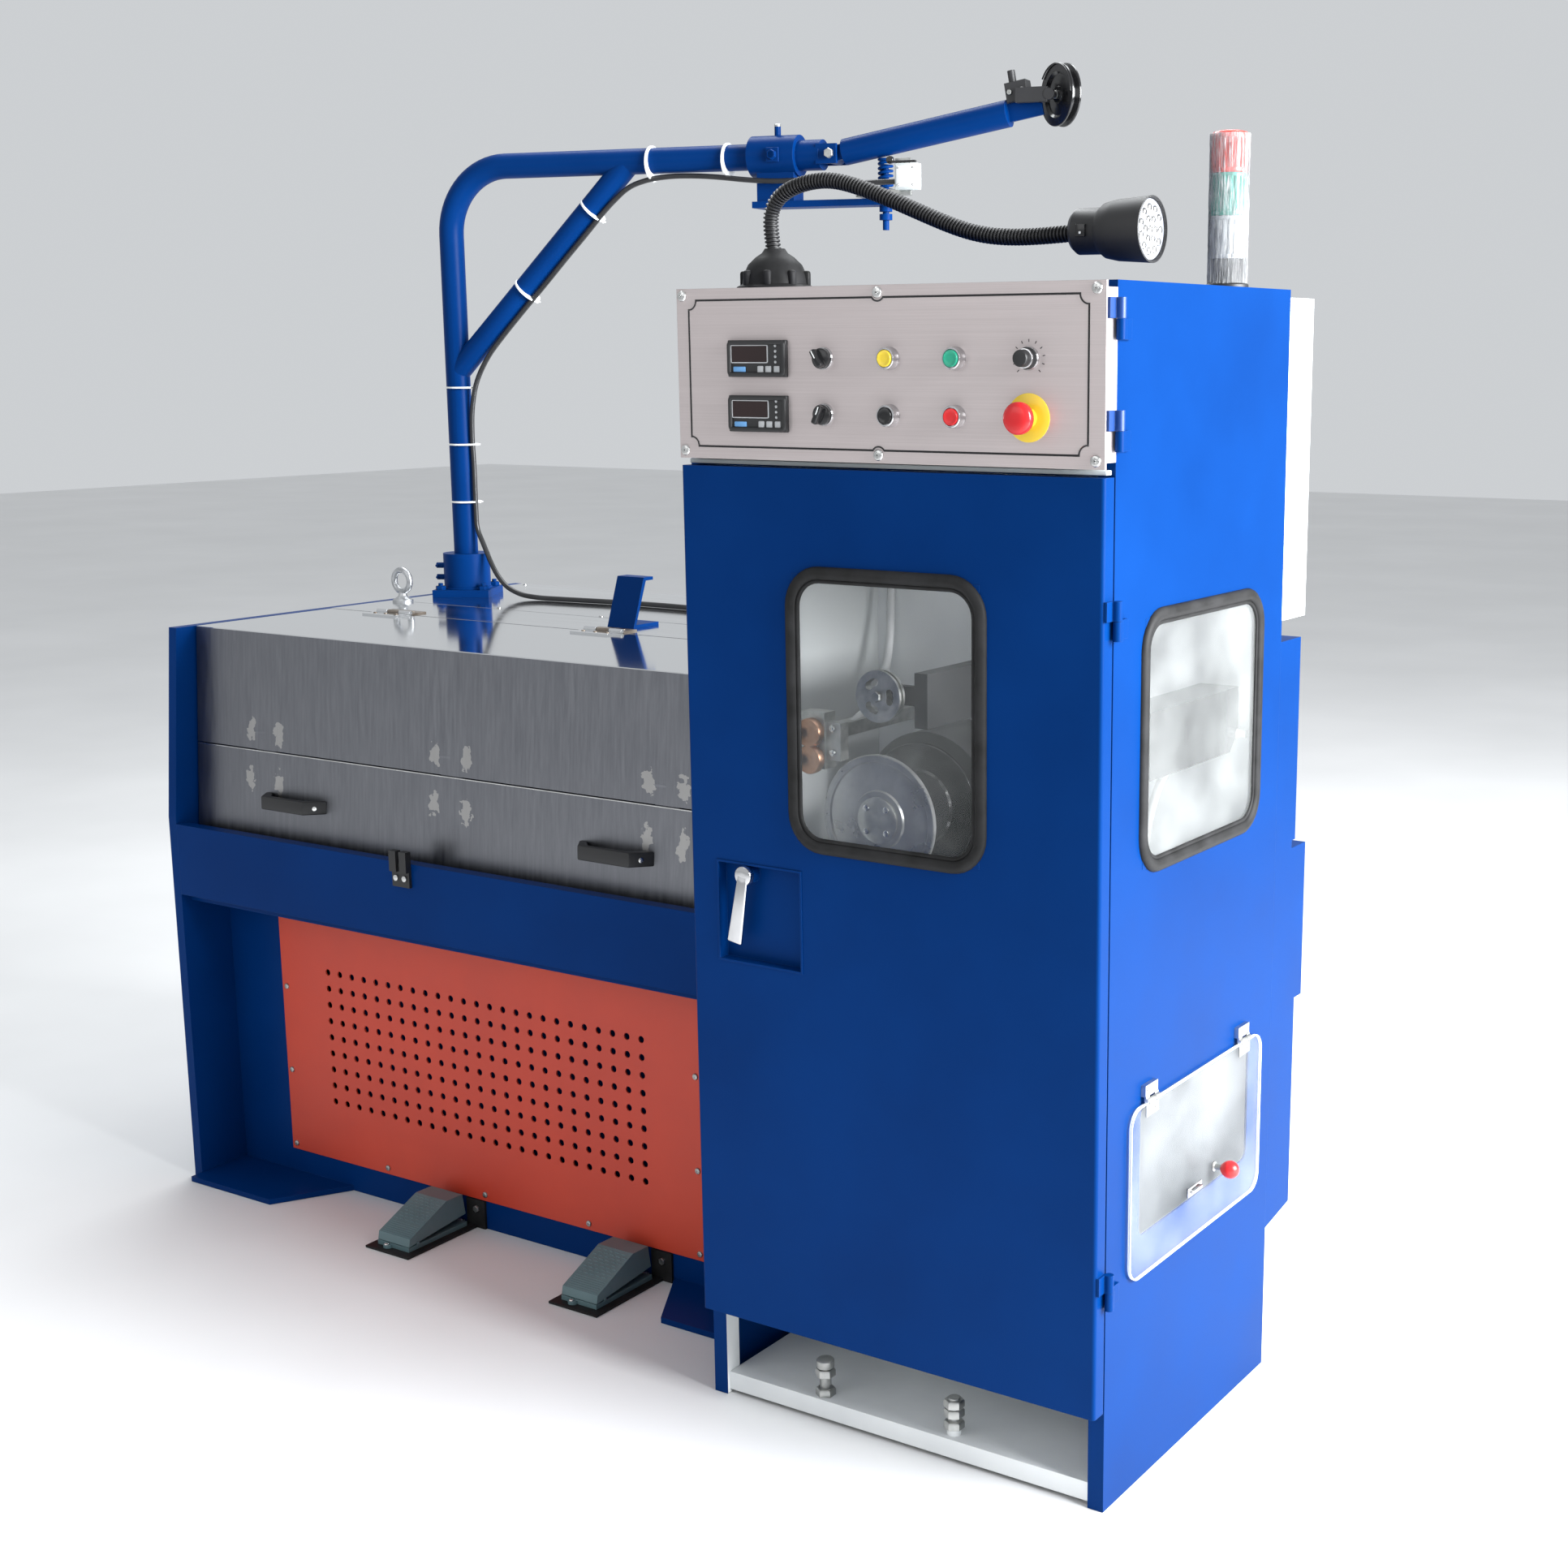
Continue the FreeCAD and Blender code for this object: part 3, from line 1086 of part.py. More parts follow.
MAST_CORD = [(986, 1842, -72), (946, 1842, -72), (900, 1840, -70), (845, 1847, -58), (785, 1852, -44),
             (720, 1852, -36), (655, 1858, -26), (600, 1865, -14), (550, 1869, -9), (500, 1870, -8),
             (452, 1866, -8), (405, 1853, -8), (358, 1815, -9), (312, 1767, -10), (264, 1721, -9), (217, 1673, -10),
             (168, 1626, -9), (120, 1578, -9), (76, 1532, -8), (45, 1480, -7), (32, 1424, -6), (30, 1366, -6),
             (31, 1316, -5), (32, 1268, -7), (32, 1220, -7)]
DECK_CORD = [(32, 1220, -7), (32, 1186, -7), (50, 1152, -11), (66, 1122, -17), (86, 1094, -25),
             (112, 1071, -33), (150, 1057, -41), (196, 1053.3, -47), (260, 1053.3, -54), (330, 1053.3, -60),
             (400, 1053.3, -68), (470, 1053.3, -80), (540, 1053.3, -98), (610, 1053.3, -120),
             (680, 1053.3, -146), (740, 1058, -170), (790, 1058, -181)]


node("mast_base", mast_base())
node("arm_tube", arm_tube())
node("arm_head", arm_head())
node("arm_spring", arm_spring())
node("limit_switch", limit_switch())
node("dancer_arm", dancer_arm())
node("wheel_bracket", wheel_bracket())
node("guide_wheel", guide_wheel())
node("mast_cable", cord([along_arm(*point) for point in MAST_CORD], CORD_RADIUS))
node("deck_cable", cord([along_arm(*point) for point in DECK_CORD], CORD_RADIUS))
node("electrical_boxes", electrical_boxes())


# ---------------------------------------------------------------- turning pieces in the chamber
def take_up_spool():
    """Spool with two flanges, bored for its spindle."""
    far = "spool_wide - flange"
    front = rod("spool_radius", "flange", 0, 0, 0)
    rear = rod("spool_radius", "flange", 0, 0, far)
    core = rod("spool_core", "spool_wide", 0, 0, 0)
    bore = rod("spindle_radius + running", "spool_wide + 2", 0, 0, -1)
    return put(less(join(front, rear, core), bore), "spool_across", "spool_front", "spool_height", TO_Y)


def guide_roller():
    """Grooved roller with three kidney-shaped holes."""
    rim = rod("roller_radius", "roller_wide", 0, 0, 0)
    groove = less(rod("roller_radius + 1", 5, 0, 0, "roller_wide/2 - 2.5"),
                  rod("roller_radius - 7", 5, 0, 0, "roller_wide/2 - 2.5"))
    bore = rod("5 + running", "roller_wide + 2", 0, 0, -1)
    windows = []
    for third in range(3):
        angle = third * 120
        for step in (-16, 0, 16):
            across = f"21*cos({angle + step})"
            up = f"21*sin({angle + step})"
            windows.append(rod(6, "roller_wide + 2", across, up, -1))
    return put(less(rim, groove, bore, *windows), "roller_across", "roller_front", "roller_height", TO_Y)


node("take_up_spool", take_up_spool())
node("guide_roller", guide_roller())


# ---------------------------------------------------------------- foot switches
PEDALS = (("left", "pedal_one"), ("right", "pedal_two"))
PIVOT_BACK = 22
PIVOT_HIGH = 14


def pedal_mats():
    """Thin plates under the foot switches, each with an upright tab on the lower panel."""
    pieces = []
    for side, x in PEDALS:
        start = f"({x} - pedal_wide/2 - 14)"
        pieces.append(block(start, "pedal_front - 16", 0, "pedal_wide + 28", "recess_front - pedal_front + 16",
                            "mat_thick"))
        pieces.append(block(f"{x} + pedal_wide/2 - 10", "recess_front - 5", 0, 44, 5, 52))
    return join(*pieces)


def pedal_tray(x):
    """Foot switch's base: a tray with a lug at each end, the ears of the pivot and its pin."""
    rise = "mat_thick"
    tray = block(f"{x} - pedal_wide/2", "pedal_front", rise, "pedal_wide", "pedal_long", "tray_rise - 2")
    lugs = [rod(9, 6, f"{x} - 12", "pedal_front", rise), rod(9, 6, f"{x} + 20", "pedal_front + pedal_long", rise)]
    ears = [block(f"{x} + {side}", f"pedal_front + {PIVOT_BACK} - 6", rise, 6, 12, f"{PIVOT_HIGH} + 4 - mat_thick")
            for side in ("-22", "16")]
    pin = rod(3, "pedal_wide + 2", f"{x} - pedal_wide/2 - 1", f"pedal_front + {PIVOT_BACK}", PIVOT_HIGH, TO_X)
    plunger = rod(8, 14, x, "pedal_front + pedal_long - 40", rise)
    return join(tray, *lugs, *ears, pin, plunger)


def pedal_tread(x):
    """Wedge-shaped cover, hollow beneath, that turns on the pin and is low at the front."""
    base = "mat_thick + tray_rise"
    y = "pedal_front"
    under = f"({base} - 1 + pedal_long*tan(pedal_travel))"
    corners = [(f"{y} + 1", f"{base} - 1"), (f"{y} + pedal_long - 2", under), (f"{y} + pedal_long - 8", "pedal_heel"),
               (f"{y} + pedal_long - 46", "pedal_heel + 1"), (f"{y} + 4", "pedal_toe")]
    wedge = prism("YZ_Plane", corners, "pedal_wide", f"{x} - pedal_wide/2")
    inner = [(f"{y} + 8", f"{base} - 2"), (f"{y} + pedal_long - 9", f"{under} - 2"),
             (f"{y} + pedal_long - 13", "pedal_heel - 6"), (f"{y} + pedal_long - 46", "pedal_heel - 6"),
             (f"{y} + 8", "pedal_toe - 6")]
    hollow = prism("YZ_Plane", inner, "pedal_wide - 10", f"{x} - pedal_wide/2 + 5")
    hole = rod("3 + running", "pedal_wide + 2", f"{x} - pedal_wide/2 - 1", f"{y} + {PIVOT_BACK}", PIVOT_HIGH, TO_X)
    return less(wedge, hollow, hole)


node("pedal_mats", pedal_mats())
node("pedal_trays", join(*[pedal_tray(x) for side, x in PEDALS]))
for side, x in PEDALS:
    node(f"pedal_tread_{side}", pedal_tread(x))


# ---------------------------------------------------------------- check and write
doc.recompute()
for thing in doc.Objects:
    if "Invalid" in thing.State or "Error" in thing.State:
        raise RuntimeError(f"{thing.Name} ({thing.Label}) is {thing.State}")
for piece in nodes:
    if piece.Shape.isNull() or not piece.Shape.isValid():
        raise RuntimeError(f"{piece.Label} has no valid shape")
os.makedirs("parts", exist_ok=True)
for piece in nodes:
    piece.Shape.exportStep(f"parts/{piece.Label}.step")
    box = piece.Shape.BoundBox
    print(f"{piece.Label:20s} {len(piece.Shape.Solids)} solids, {piece.Shape.Volume / 1000:9.1f} cm3, "
          f"x {box.XMin:.0f} {box.XMax:.0f}, y {box.YMin:.0f} {box.YMax:.0f}, z {box.ZMin:.0f} {box.ZMax:.0f}")
print(len(nodes), "nodes")
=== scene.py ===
# %% [markdown]
# # Fine wire drawing machine
# This lesson dresses a finished construction model. The frame gives every piece its true size
# and place, and the cells below add the finishes and the small things that a factory would
# bolt, weld, tie or snap on. Work in metres, with Z up and the machine's front towards -Y.

# %% Load the frame
import bpy
from math import cos, pi, radians, sin, tan
from mathutils import Matrix, Vector


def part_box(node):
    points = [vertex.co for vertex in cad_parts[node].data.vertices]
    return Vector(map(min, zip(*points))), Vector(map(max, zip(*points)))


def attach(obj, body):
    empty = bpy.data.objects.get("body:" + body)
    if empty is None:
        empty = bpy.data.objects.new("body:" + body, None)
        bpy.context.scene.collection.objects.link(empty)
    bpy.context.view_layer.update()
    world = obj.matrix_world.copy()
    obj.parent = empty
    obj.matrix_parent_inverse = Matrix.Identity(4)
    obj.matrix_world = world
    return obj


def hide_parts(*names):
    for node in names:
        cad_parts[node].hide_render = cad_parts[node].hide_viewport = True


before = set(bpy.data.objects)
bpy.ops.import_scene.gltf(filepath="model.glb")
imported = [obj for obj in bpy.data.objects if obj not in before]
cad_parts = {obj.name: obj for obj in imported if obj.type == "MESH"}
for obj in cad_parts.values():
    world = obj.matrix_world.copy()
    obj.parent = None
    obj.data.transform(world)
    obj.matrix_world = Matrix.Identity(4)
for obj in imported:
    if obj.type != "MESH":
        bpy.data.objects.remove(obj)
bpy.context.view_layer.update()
scene = bpy.context.scene

# %% [markdown]
# ## The camera
# A camera that looks level and has some lens shift keeps upright edges nearly upright. Here it
# looks slightly down from the machine's right-hand front corner, at the height of a raised arm.

# %% Camera
EYE = Vector((2.2613, -2.8096, 1.5337))
HEADING, TILT, ROLL = radians(32.083), radians(78.775), radians(-0.115)

camera_data = bpy.data.cameras.new("Camera")
camera_data.lens = 49.12
camera_data.sensor_width = 36
camera_data.shift_x = -0.1106
camera_data.shift_y = -0.0031
camera = bpy.data.objects.new("Camera", camera_data)
turn = Matrix.Rotation(HEADING, 4, "Z") @ Matrix.Rotation(TILT, 4, "X") @ Matrix.Rotation(ROLL, 4, "Z")
camera.matrix_world = Matrix.Translation(EYE) @ turn
scene.collection.objects.link(camera)
scene.camera = camera

# %% [markdown]
# ## Floor and light
# Sheet metal only looks like metal when it has something to reflect. A large soft light stands
# at the machine's right, where the factory's windows would be, and a weaker one at its front.

# %% Floor and light
def area_light(name, place, target, wide, high, power, colour=(1, 1, 1)):
    """A soft rectangular light aimed at a point."""
    lamp = bpy.data.lights.new(name, "AREA")
    lamp.shape = "RECTANGLE"
    lamp.size, lamp.size_y = wide, high
    lamp.energy, lamp.color = power, colour
    light = bpy.data.objects.new(name, lamp)
    light.location = place
    light.rotation_euler = (Vector(target) - Vector(place)).to_track_quat("-Z", "Y").to_euler()
    scene.collection.objects.link(light)
    return light


area_light("Window light", (4.6, 0.2, 2.3), (0.6, -0.2, 0.9), 3.2, 2.6, 900, (0.96, 0.98, 1.0))
area_light("Front light", (-0.6, -4.6, 3.2), (0.1, 0, 0.8), 3.6, 2.2, 26)
area_light("Roof light", (-0.8, 1.8, 4.4), (0, 0.2, 1.0), 3.5, 1.6, 150, (0.95, 0.98, 1.0))
area_light("Chamber light", (0.69, -0.27, 1.376), (0.69, -0.25, 0.9), 0.5, 0.26, 0.5)

world = bpy.data.worlds.new("Studio")
world.use_nodes = True
world.node_tree.nodes["Background"].inputs["Color"].default_value = (0.92, 0.95, 0.98, 1)
world.node_tree.nodes["Background"].inputs["Strength"].default_value = 0.66
scene.world = world
scene.view_settings.view_transform = "Standard"

# %% [markdown]
# ## Tools for modelling
# Each helper does what a hand would do in the viewport: add a primitive at its place, go into
# edit mode, select by shape, and bevel or extrude. Everything is deselected first, because an
# operator acts on all that is selected.

# %% Starting and finishing a piece
def alone(piece):
    """Selects one piece only."""
    if bpy.context.object and bpy.context.object.mode != "OBJECT":
        bpy.ops.object.mode_set(mode="OBJECT")
    bpy.ops.object.select_all(action="DESELECT")
    piece.select_set(True)
    bpy.context.view_layer.objects.active = piece
    return piece


def settle(piece, smooth=35):
    """Bakes the place into the mesh and shades by angle."""
    alone(piece)
    bpy.ops.object.transform_apply(location=True, rotation=True, scale=True)
    bpy.ops.object.shade_smooth_by_angle(angle=radians(smooth))
    return piece


def joined(pieces):
    """Several pieces made one object."""
    alone(pieces[0])
    for piece in pieces[1:]:
        piece.select_set(True)
    bpy.ops.object.join()
    return bpy.context.object


def finish(piece, name, body, material, replaced=(), smooth=35):
    """Names a piece, gives it its finish and lets it ride with its body."""
    settle(piece, smooth)
    piece.name = piece.data.name = name.replace(" ", "_")
    piece.data.materials.clear()
    piece.data.materials.append(material)
    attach(piece, body)
    if replaced:
        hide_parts(*replaced)
    return piece


def open_mesh(action="SELECT"):
    """Goes into edit mode with all or nothing selected."""
    bpy.ops.object.mode_set(mode="EDIT")
    bpy.ops.mesh.select_all(action=action)


def close_mesh():
    """Back to object mode."""
    bpy.ops.object.mode_set(mode="OBJECT")


def applied(piece):
    """Bakes the place and the turn of one piece into its mesh."""
    alone(piece)
    bpy.ops.object.transform_apply(location=True, rotation=True, scale=True)
    return piece


# %% Blocks, rods and turned shapes
def block(low, high, soft=0.001, segments=2):
    """A box between two corners with softened edges."""
    low, high = Vector(low), Vector(high)
    bpy.ops.object.select_all(action="DESELECT")
    bpy.ops.mesh.primitive_cube_add(size=1, location=(low + high) / 2)
    piece = bpy.context.object
    piece.scale = high - low
    bpy.ops.object.transform_apply(location=True, rotation=True, scale=True)
    open_mesh()
    bpy.ops.mesh.bevel(offset=soft, segments=segments, affect="EDGES")
    close_mesh()
    return piece


def aim(piece, place, direction):
    """Turns a piece made along +Z so that it points in a direction, at its place."""
    heading = Vector(direction).to_track_quat("Z", "Y").to_matrix().to_4x4()
    piece.matrix_world = Matrix.Translation(Vector(place)) @ heading
    return applied(piece)


def turned(stations, place=(0, 0, 0), direction=(0, 0, 1), sides=48):
    """A shape from the lathe: a disc extruded and scaled from one (radius, height) to the next."""
    radius, height = stations[0]
    bpy.ops.object.select_all(action="DESELECT")
    bpy.ops.mesh.primitive_circle_add(vertices=sides, radius=radius, fill_type="NGON", location=(0, 0, 0))
    piece = bpy.context.object
    open_mesh()
    for wide, high in stations[1:]:
        bpy.ops.mesh.extrude_region_move(TRANSFORM_OT_translate={"value": (0, 0, high - height)})
        grow = wide / radius
        bpy.ops.transform.resize(value=(grow, grow, 1), center_override=(0, 0, 0))
        radius, height = wide, high
    bpy.ops.mesh.select_all(action="SELECT")
    bpy.ops.mesh.normals_make_consistent(inside=False)
    close_mesh()
    first = stations[0][1]
    piece.data.transform(Matrix.Translation((0, 0, first)))
    return aim(piece, place, direction)


def rod(place, direction, radius, long, soft=0.0006, sides=24):
    """A round bar from the centre of one end."""
    stations = [(radius - soft, 0), (radius, soft), (radius, long - soft), (radius - soft, long)]
    return turned(stations, place, direction, sides)


# %% Swept shapes
def swept(points, radius, closed=False, order=3, resolution=6, sides=5):
    """A smooth tube along given points."""
    curve = bpy.data.curves.new("Path", "CURVE")
    curve.dimensions = "3D"
    curve.bevel_depth = radius
    curve.bevel_resolution = sides
    curve.use_fill_caps = not closed
    spline = curve.splines.new("NURBS")
    spline.points.add(len(points) - 1)
    for spot, point in zip(spline.points, points):
        spot.co = (*point, 1)
    spline.order_u = order
    spline.use_endpoint_u = not closed
    spline.use_cyclic_u = closed
    spline.resolution_u = resolution
    path = bpy.data.objects.new("Path", curve)
    scene.collection.objects.link(path)
    alone(path)
    bpy.ops.object.convert(target="MESH")
    return bpy.context.object


def frame_loop(centre, across, upward, corner, thick, facing, flat=1.0, profile=0.5):
    """A closed bead round a rectangle with rounded corners. facing is 'x' or 'y', the way it looks."""
    bpy.ops.object.select_all(action="DESELECT")
    bpy.ops.mesh.primitive_plane_add(size=1, location=(0, 0, 0))
    plate = bpy.context.object
    plate.scale = (across, upward, 1)
    bpy.ops.object.transform_apply(scale=True)
    open_mesh()
    bpy.ops.mesh.bevel(offset=corner, segments=8, affect="VERTICES", profile=profile)
    bpy.ops.mesh.delete(type="ONLY_FACE")
    close_mesh()
    bpy.ops.object.convert(target="CURVE")
    bpy.context.object.data.bevel_depth = thick
    bpy.context.object.data.bevel_resolution = 4
    bpy.ops.object.convert(target="MESH")
    bead = bpy.context.object
    bead.scale = (1, 1, flat)
    bpy.ops.object.transform_apply(scale=True)
    upright = Matrix.Rotation(radians(90), 4, "X")
    if facing == "x":
        upright = Matrix.Rotation(radians(90), 4, "Z") @ upright
    bead.matrix_world = Matrix.Translation(Vector(centre)) @ upright
    return applied(bead)


# %% Bolts and screws, modelled once and copied
def hexagon(radius=0.0075, high=0.006):
    """A hexagon head with a chamfered top, standing on z = 0."""
    return turned([(radius, 0), (radius, high * 0.8), (radius * 0.9, high)], sides=6)


def pan_screw(radius=0.004, high=0.0025):
    """A round head with a cross recess."""
    head = turned([(radius, 0), (radius, high * 0.4), (radius * 0.85, high * 0.8), (radius * 0.5, high)], sides=20)
    bars = []
    for long, wide in ((radius * 1.1, radius * 0.25), (radius * 0.25, radius * 1.1)):
        bars.append(block((-long / 2, -wide / 2, high * 0.99), (long / 2, wide / 2, high * 1.04), radius * 0.02, 1))
    return joined([head, *bars])


def cap_screw(radius=0.0065, high=0.006):
    """A cylinder head with a hexagon socket."""
    head = turned([(radius * 0.94, 0), (radius, high * 0.1), (radius, high * 0.85), (radius * 0.85, high),
                   (radius * 0.5, high)], sides=24)
    socket = turned([(radius * 0.5, high * 0.99), (radius * 0.46, high * 1.02)], sides=6)
    return joined([head, socket])


def copies(pattern, places):
    """Copies of one piece, each at a place and pointing in a direction, joined into one."""
    made = []
    for place, direction in places:
        copy = pattern.copy()
        copy.data = pattern.data.copy()
        scene.collection.objects.link(copy)
        made.append(aim(copy, place, direction))
    bpy.data.objects.remove(pattern, do_unlink=True)
    return joined(made)


FRONT, BACK, RIGHT, UP = (0, -1, 0), (0, 1, 0), (1, 0, 0), (0, 0, 1)


def fasteners(pattern, places, name, body, material=None):
    """One piece of copied screws, bolts or nuts, in bright steel unless another finish is given."""
    piece = finish(copies(pattern, places), name, body, material or bright_steel)


# %% [markdown]
# ## Shared effects
# Real paint and steel are never one flat colour. Three effects are used by many finishes, so
# each is a node group: mottling, brushed grain, and a lighter tone along edges that is partly
# wear and partly a painted highlight. A group puts out only masks and values, and the shader
# stays in the material.

# %% Shared node groups
def new_group(name, inputs, outputs):
    """A shader node group with named float inputs and outputs."""
    group = bpy.data.node_groups.new(name, "ShaderNodeTree")
    for label, value in inputs:
        socket = group.interface.new_socket(label, in_out="INPUT", socket_type="NodeSocketFloat")
        socket.default_value = value
    for label in outputs:
        group.interface.new_socket(label, in_out="OUTPUT", socket_type="NodeSocketFloat")
    return group, group.nodes.new("NodeGroupInput"), group.nodes.new("NodeGroupOutput")


def node(tree, kind, **settings):
    """A node with its settings. Names with a capital are its input sockets."""
    made = tree.nodes.new(kind)
    for key, value in settings.items():
        if key[0].isupper():
            made.inputs[key.replace("_", " ")].default_value = value
        else:
            setattr(made, key, value)
    return made


def math_node(tree, operation, first, second=None, clamp=False):
    """A math node fed by sockets or numbers."""
    made = node(tree, "ShaderNodeMath", operation=operation, use_clamp=clamp)
    for socket, value in zip(made.inputs, (first, second)):
        if value is None:
            continue
        if isinstance(value, (int, float)):
            socket.default_value = value
        else:
            tree.links.new(value, socket)
    return made.outputs[0]


def mottle_group():
    """Large soft cloudiness with fine speckle over it."""
    group, start, end = new_group("Mottle", [("Scale", 6.0), ("Fine", 180.0)], ["Cloud", "Speck"])
    place = node(group, "ShaderNodeTexCoord").outputs["Object"]
    cloud = node(group, "ShaderNodeTexNoise", Detail=4.0, Roughness=0.55)
    speck = node(group, "ShaderNodeTexNoise", Detail=2.0, Roughness=0.5)
    for noise, scale in ((cloud, "Scale"), (speck, "Fine")):
        group.links.new(place, noise.inputs["Vector"])
        group.links.new(start.outputs[scale], noise.inputs["Scale"])
    group.links.new(cloud.outputs["Fac"], end.inputs["Cloud"])
    group.links.new(speck.outputs["Fac"], end.inputs["Speck"])
    return group


def grain_group():
    """Fine parallel lines left by a grinding belt, drawn out along one axis."""
    group, start, end = new_group("Grain", [("Along X", 1.0), ("Along Y", 1.0), ("Along Z", 1.0)], ["Line", "Band"])
    place = node(group, "ShaderNodeTexCoord").outputs["Object"]
    scale = node(group, "ShaderNodeCombineXYZ")
    for axis in "XYZ":
        group.links.new(start.outputs[f"Along {axis}"], scale.inputs[axis])
    drawn = node(group, "ShaderNodeVectorMath", operation="MULTIPLY")
    group.links.new(place, drawn.inputs[0])
    group.links.new(scale.outputs[0], drawn.inputs[1])
    for label, size in (("Line", 1.0), ("Band", 0.12)):
        noise = node(group, "ShaderNodeTexNoise", Scale=size, Detail=5.0, Roughness=0.7)
        group.links.new(drawn.outputs[0], noise.inputs["Vector"])
        group.links.new(noise.outputs["Fac"], end.inputs[label])
    return group


def edge_wear_and_highlight_group():
    """A mask that is 1 along edges and breaks up into chips: partly wear, partly a painted highlight."""
    group, start, end = new_group("Edge wear and highlight", [("Width", 0.0015), ("Strength", 1.0)], ["Mask"])
    bevel = node(group, "ShaderNodeBevel", samples=4)
    group.links.new(start.outputs["Width"], bevel.inputs["Radius"])
    flat = node(group, "ShaderNodeNewGeometry").outputs["Normal"]
    dot = node(group, "ShaderNodeVectorMath", operation="DOT_PRODUCT")
    group.links.new(bevel.outputs[0], dot.inputs[0])
    group.links.new(flat, dot.inputs[1])
    turned_away = math_node(group, "SUBTRACT", 1.0, dot.outputs["Value"])
    place = node(group, "ShaderNodeTexCoord").outputs["Object"]
    chips = node(group, "ShaderNodeTexNoise", Scale=45.0, Detail=3.0)
    group.links.new(place, chips.inputs["Vector"])
    broken = math_node(group, "MULTIPLY", turned_away, chips.outputs["Fac"])
    strong = math_node(group, "MULTIPLY", broken, start.outputs["Strength"], True)
    group.links.new(strong, end.inputs["Mask"])
    return group


MOTTLE, GRAIN, EDGE_WEAR_AND_HIGHLIGHT = mottle_group(), grain_group(), edge_wear_and_highlight_group()

# %% [markdown]
# ## Finishes
# A finish starts as a Principled shader with its fixed numbers on its own sockets. Noise then
# moves the colour and the roughness a little, and a Bevel node rounds the edges of folded
# sheet, so that they catch the light as real folds do.

# %% Mixing and stretching
def mixed(tree, factor, first, second):
    """A colour between two, by a mask."""
    mix = node(tree, "ShaderNodeMix", data_type="RGBA")
    tree.links.new(factor, mix.inputs[0])
    for socket, value in ((mix.inputs[6], first), (mix.inputs[7], second)):
        if isinstance(value, tuple):
            socket.default_value = (*value, 1)
        else:
            tree.links.new(value, socket)
    return mix.outputs[2]


def ranged(tree, value, low, high, start=0.3, end=0.7):
    """A value stretched from one range to another."""
    made = node(tree, "ShaderNodeMapRange", From_Min=start, From_Max=end, To_Min=low, To_Max=high)
    tree.links.new(value, made.inputs["Value"])
    return made.outputs[0]


# %% Building a finish
def shader_base(name, metallic=0.0, coat=0.0, fold=0.0012, **sockets):
    """A material with its Principled shader and a Bevel node for its folds."""
    material = bpy.data.materials.new(name)
    material.use_nodes = True
    tree = material.node_tree
    shader = tree.nodes["Principled BSDF"]
    shader.inputs["Metallic"].default_value = metallic
    shader.inputs["Coat Weight"].default_value = coat
    shader.inputs["Coat Roughness"].default_value = 0.12
    for key, value in sockets.items():
        shader.inputs[key.replace("_", " ")].default_value = value
    bump = node(tree, "ShaderNodeBump", Strength=0.25, Distance=0.0002)
    if fold:
        bevel = node(tree, "ShaderNodeBevel", samples=4, Radius=fold)
        tree.links.new(bevel.outputs[0], bump.inputs["Normal"])
    tree.links.new(bump.outputs[0], shader.inputs["Normal"])
    return material, tree, shader, bump


def mottled(name, dark, light, rough=(0.35, 0.45), metallic=0.0, coat=0.0, scale=6.0, fine=180.0,
            bump=0.25, edge_wear_and_highlight=0.0, edge_wear_and_highlight_tone=(0.5, 0.5, 0.5), fold=0.0012):
    """A finish whose colour drifts between two tones, with speckle in its surface and lighter edges, partly worn and
    partly a painted highlight.
    """
    material, tree, shader, relief = shader_base(name, metallic, coat, fold)
    group = node(tree, "ShaderNodeGroup", node_tree=MOTTLE, Scale=scale, Fine=fine)
    colour = mixed(tree, ranged(tree, group.outputs["Cloud"], 0, 1), dark, light)
    # Edges take a lighter tone: partly worn paint, partly a painted highlight.
    if edge_wear_and_highlight:
        edge = node(tree, "ShaderNodeGroup", node_tree=EDGE_WEAR_AND_HIGHLIGHT, Strength=edge_wear_and_highlight)
        colour = mixed(tree, edge.outputs["Mask"], colour, edge_wear_and_highlight_tone)
    tree.links.new(colour, shader.inputs["Base Color"])
    tree.links.new(ranged(tree, group.outputs["Cloud"], *rough), shader.inputs["Roughness"])
    relief.inputs["Strength"].default_value = bump
    tree.links.new(group.outputs["Speck"], relief.inputs["Height"])
    return material


def brushed(name, dark, light, rough, along, bump=0.3, metallic=1.0, fold=0.001):
    """Steel sheet with belt-ground lines. along is the line spacing in each axis: small means drawn out."""
    material, tree, shader, relief = shader_base(name, metallic, 0.0, fold)
    group = node(tree, "ShaderNodeGroup", node_tree=GRAIN, Along_X=along[0], Along_Y=along[1], Along_Z=along[2])
    lines = mixed(tree, ranged(tree, group.outputs["Line"], 0, 1), dark, light)
    bands = ranged(tree, group.outputs["Band"], 0, 0.5)
    tree.links.new(mixed(tree, bands, lines, dark), shader.inputs["Base Color"])
    tree.links.new(ranged(tree, group.outputs["Line"], *rough), shader.inputs["Roughness"])
    relief.inputs["Strength"].default_value = bump
    tree.links.new(group.outputs["Line"], relief.inputs["Height"])
    return material


# %% Paints
BLUE_DARK, BLUE_LIGHT, WHITE_PAINT = (0.0003, 0.023, 0.120), (0.0005, 0.030, 0.152), (0.80, 0.82, 0.82)
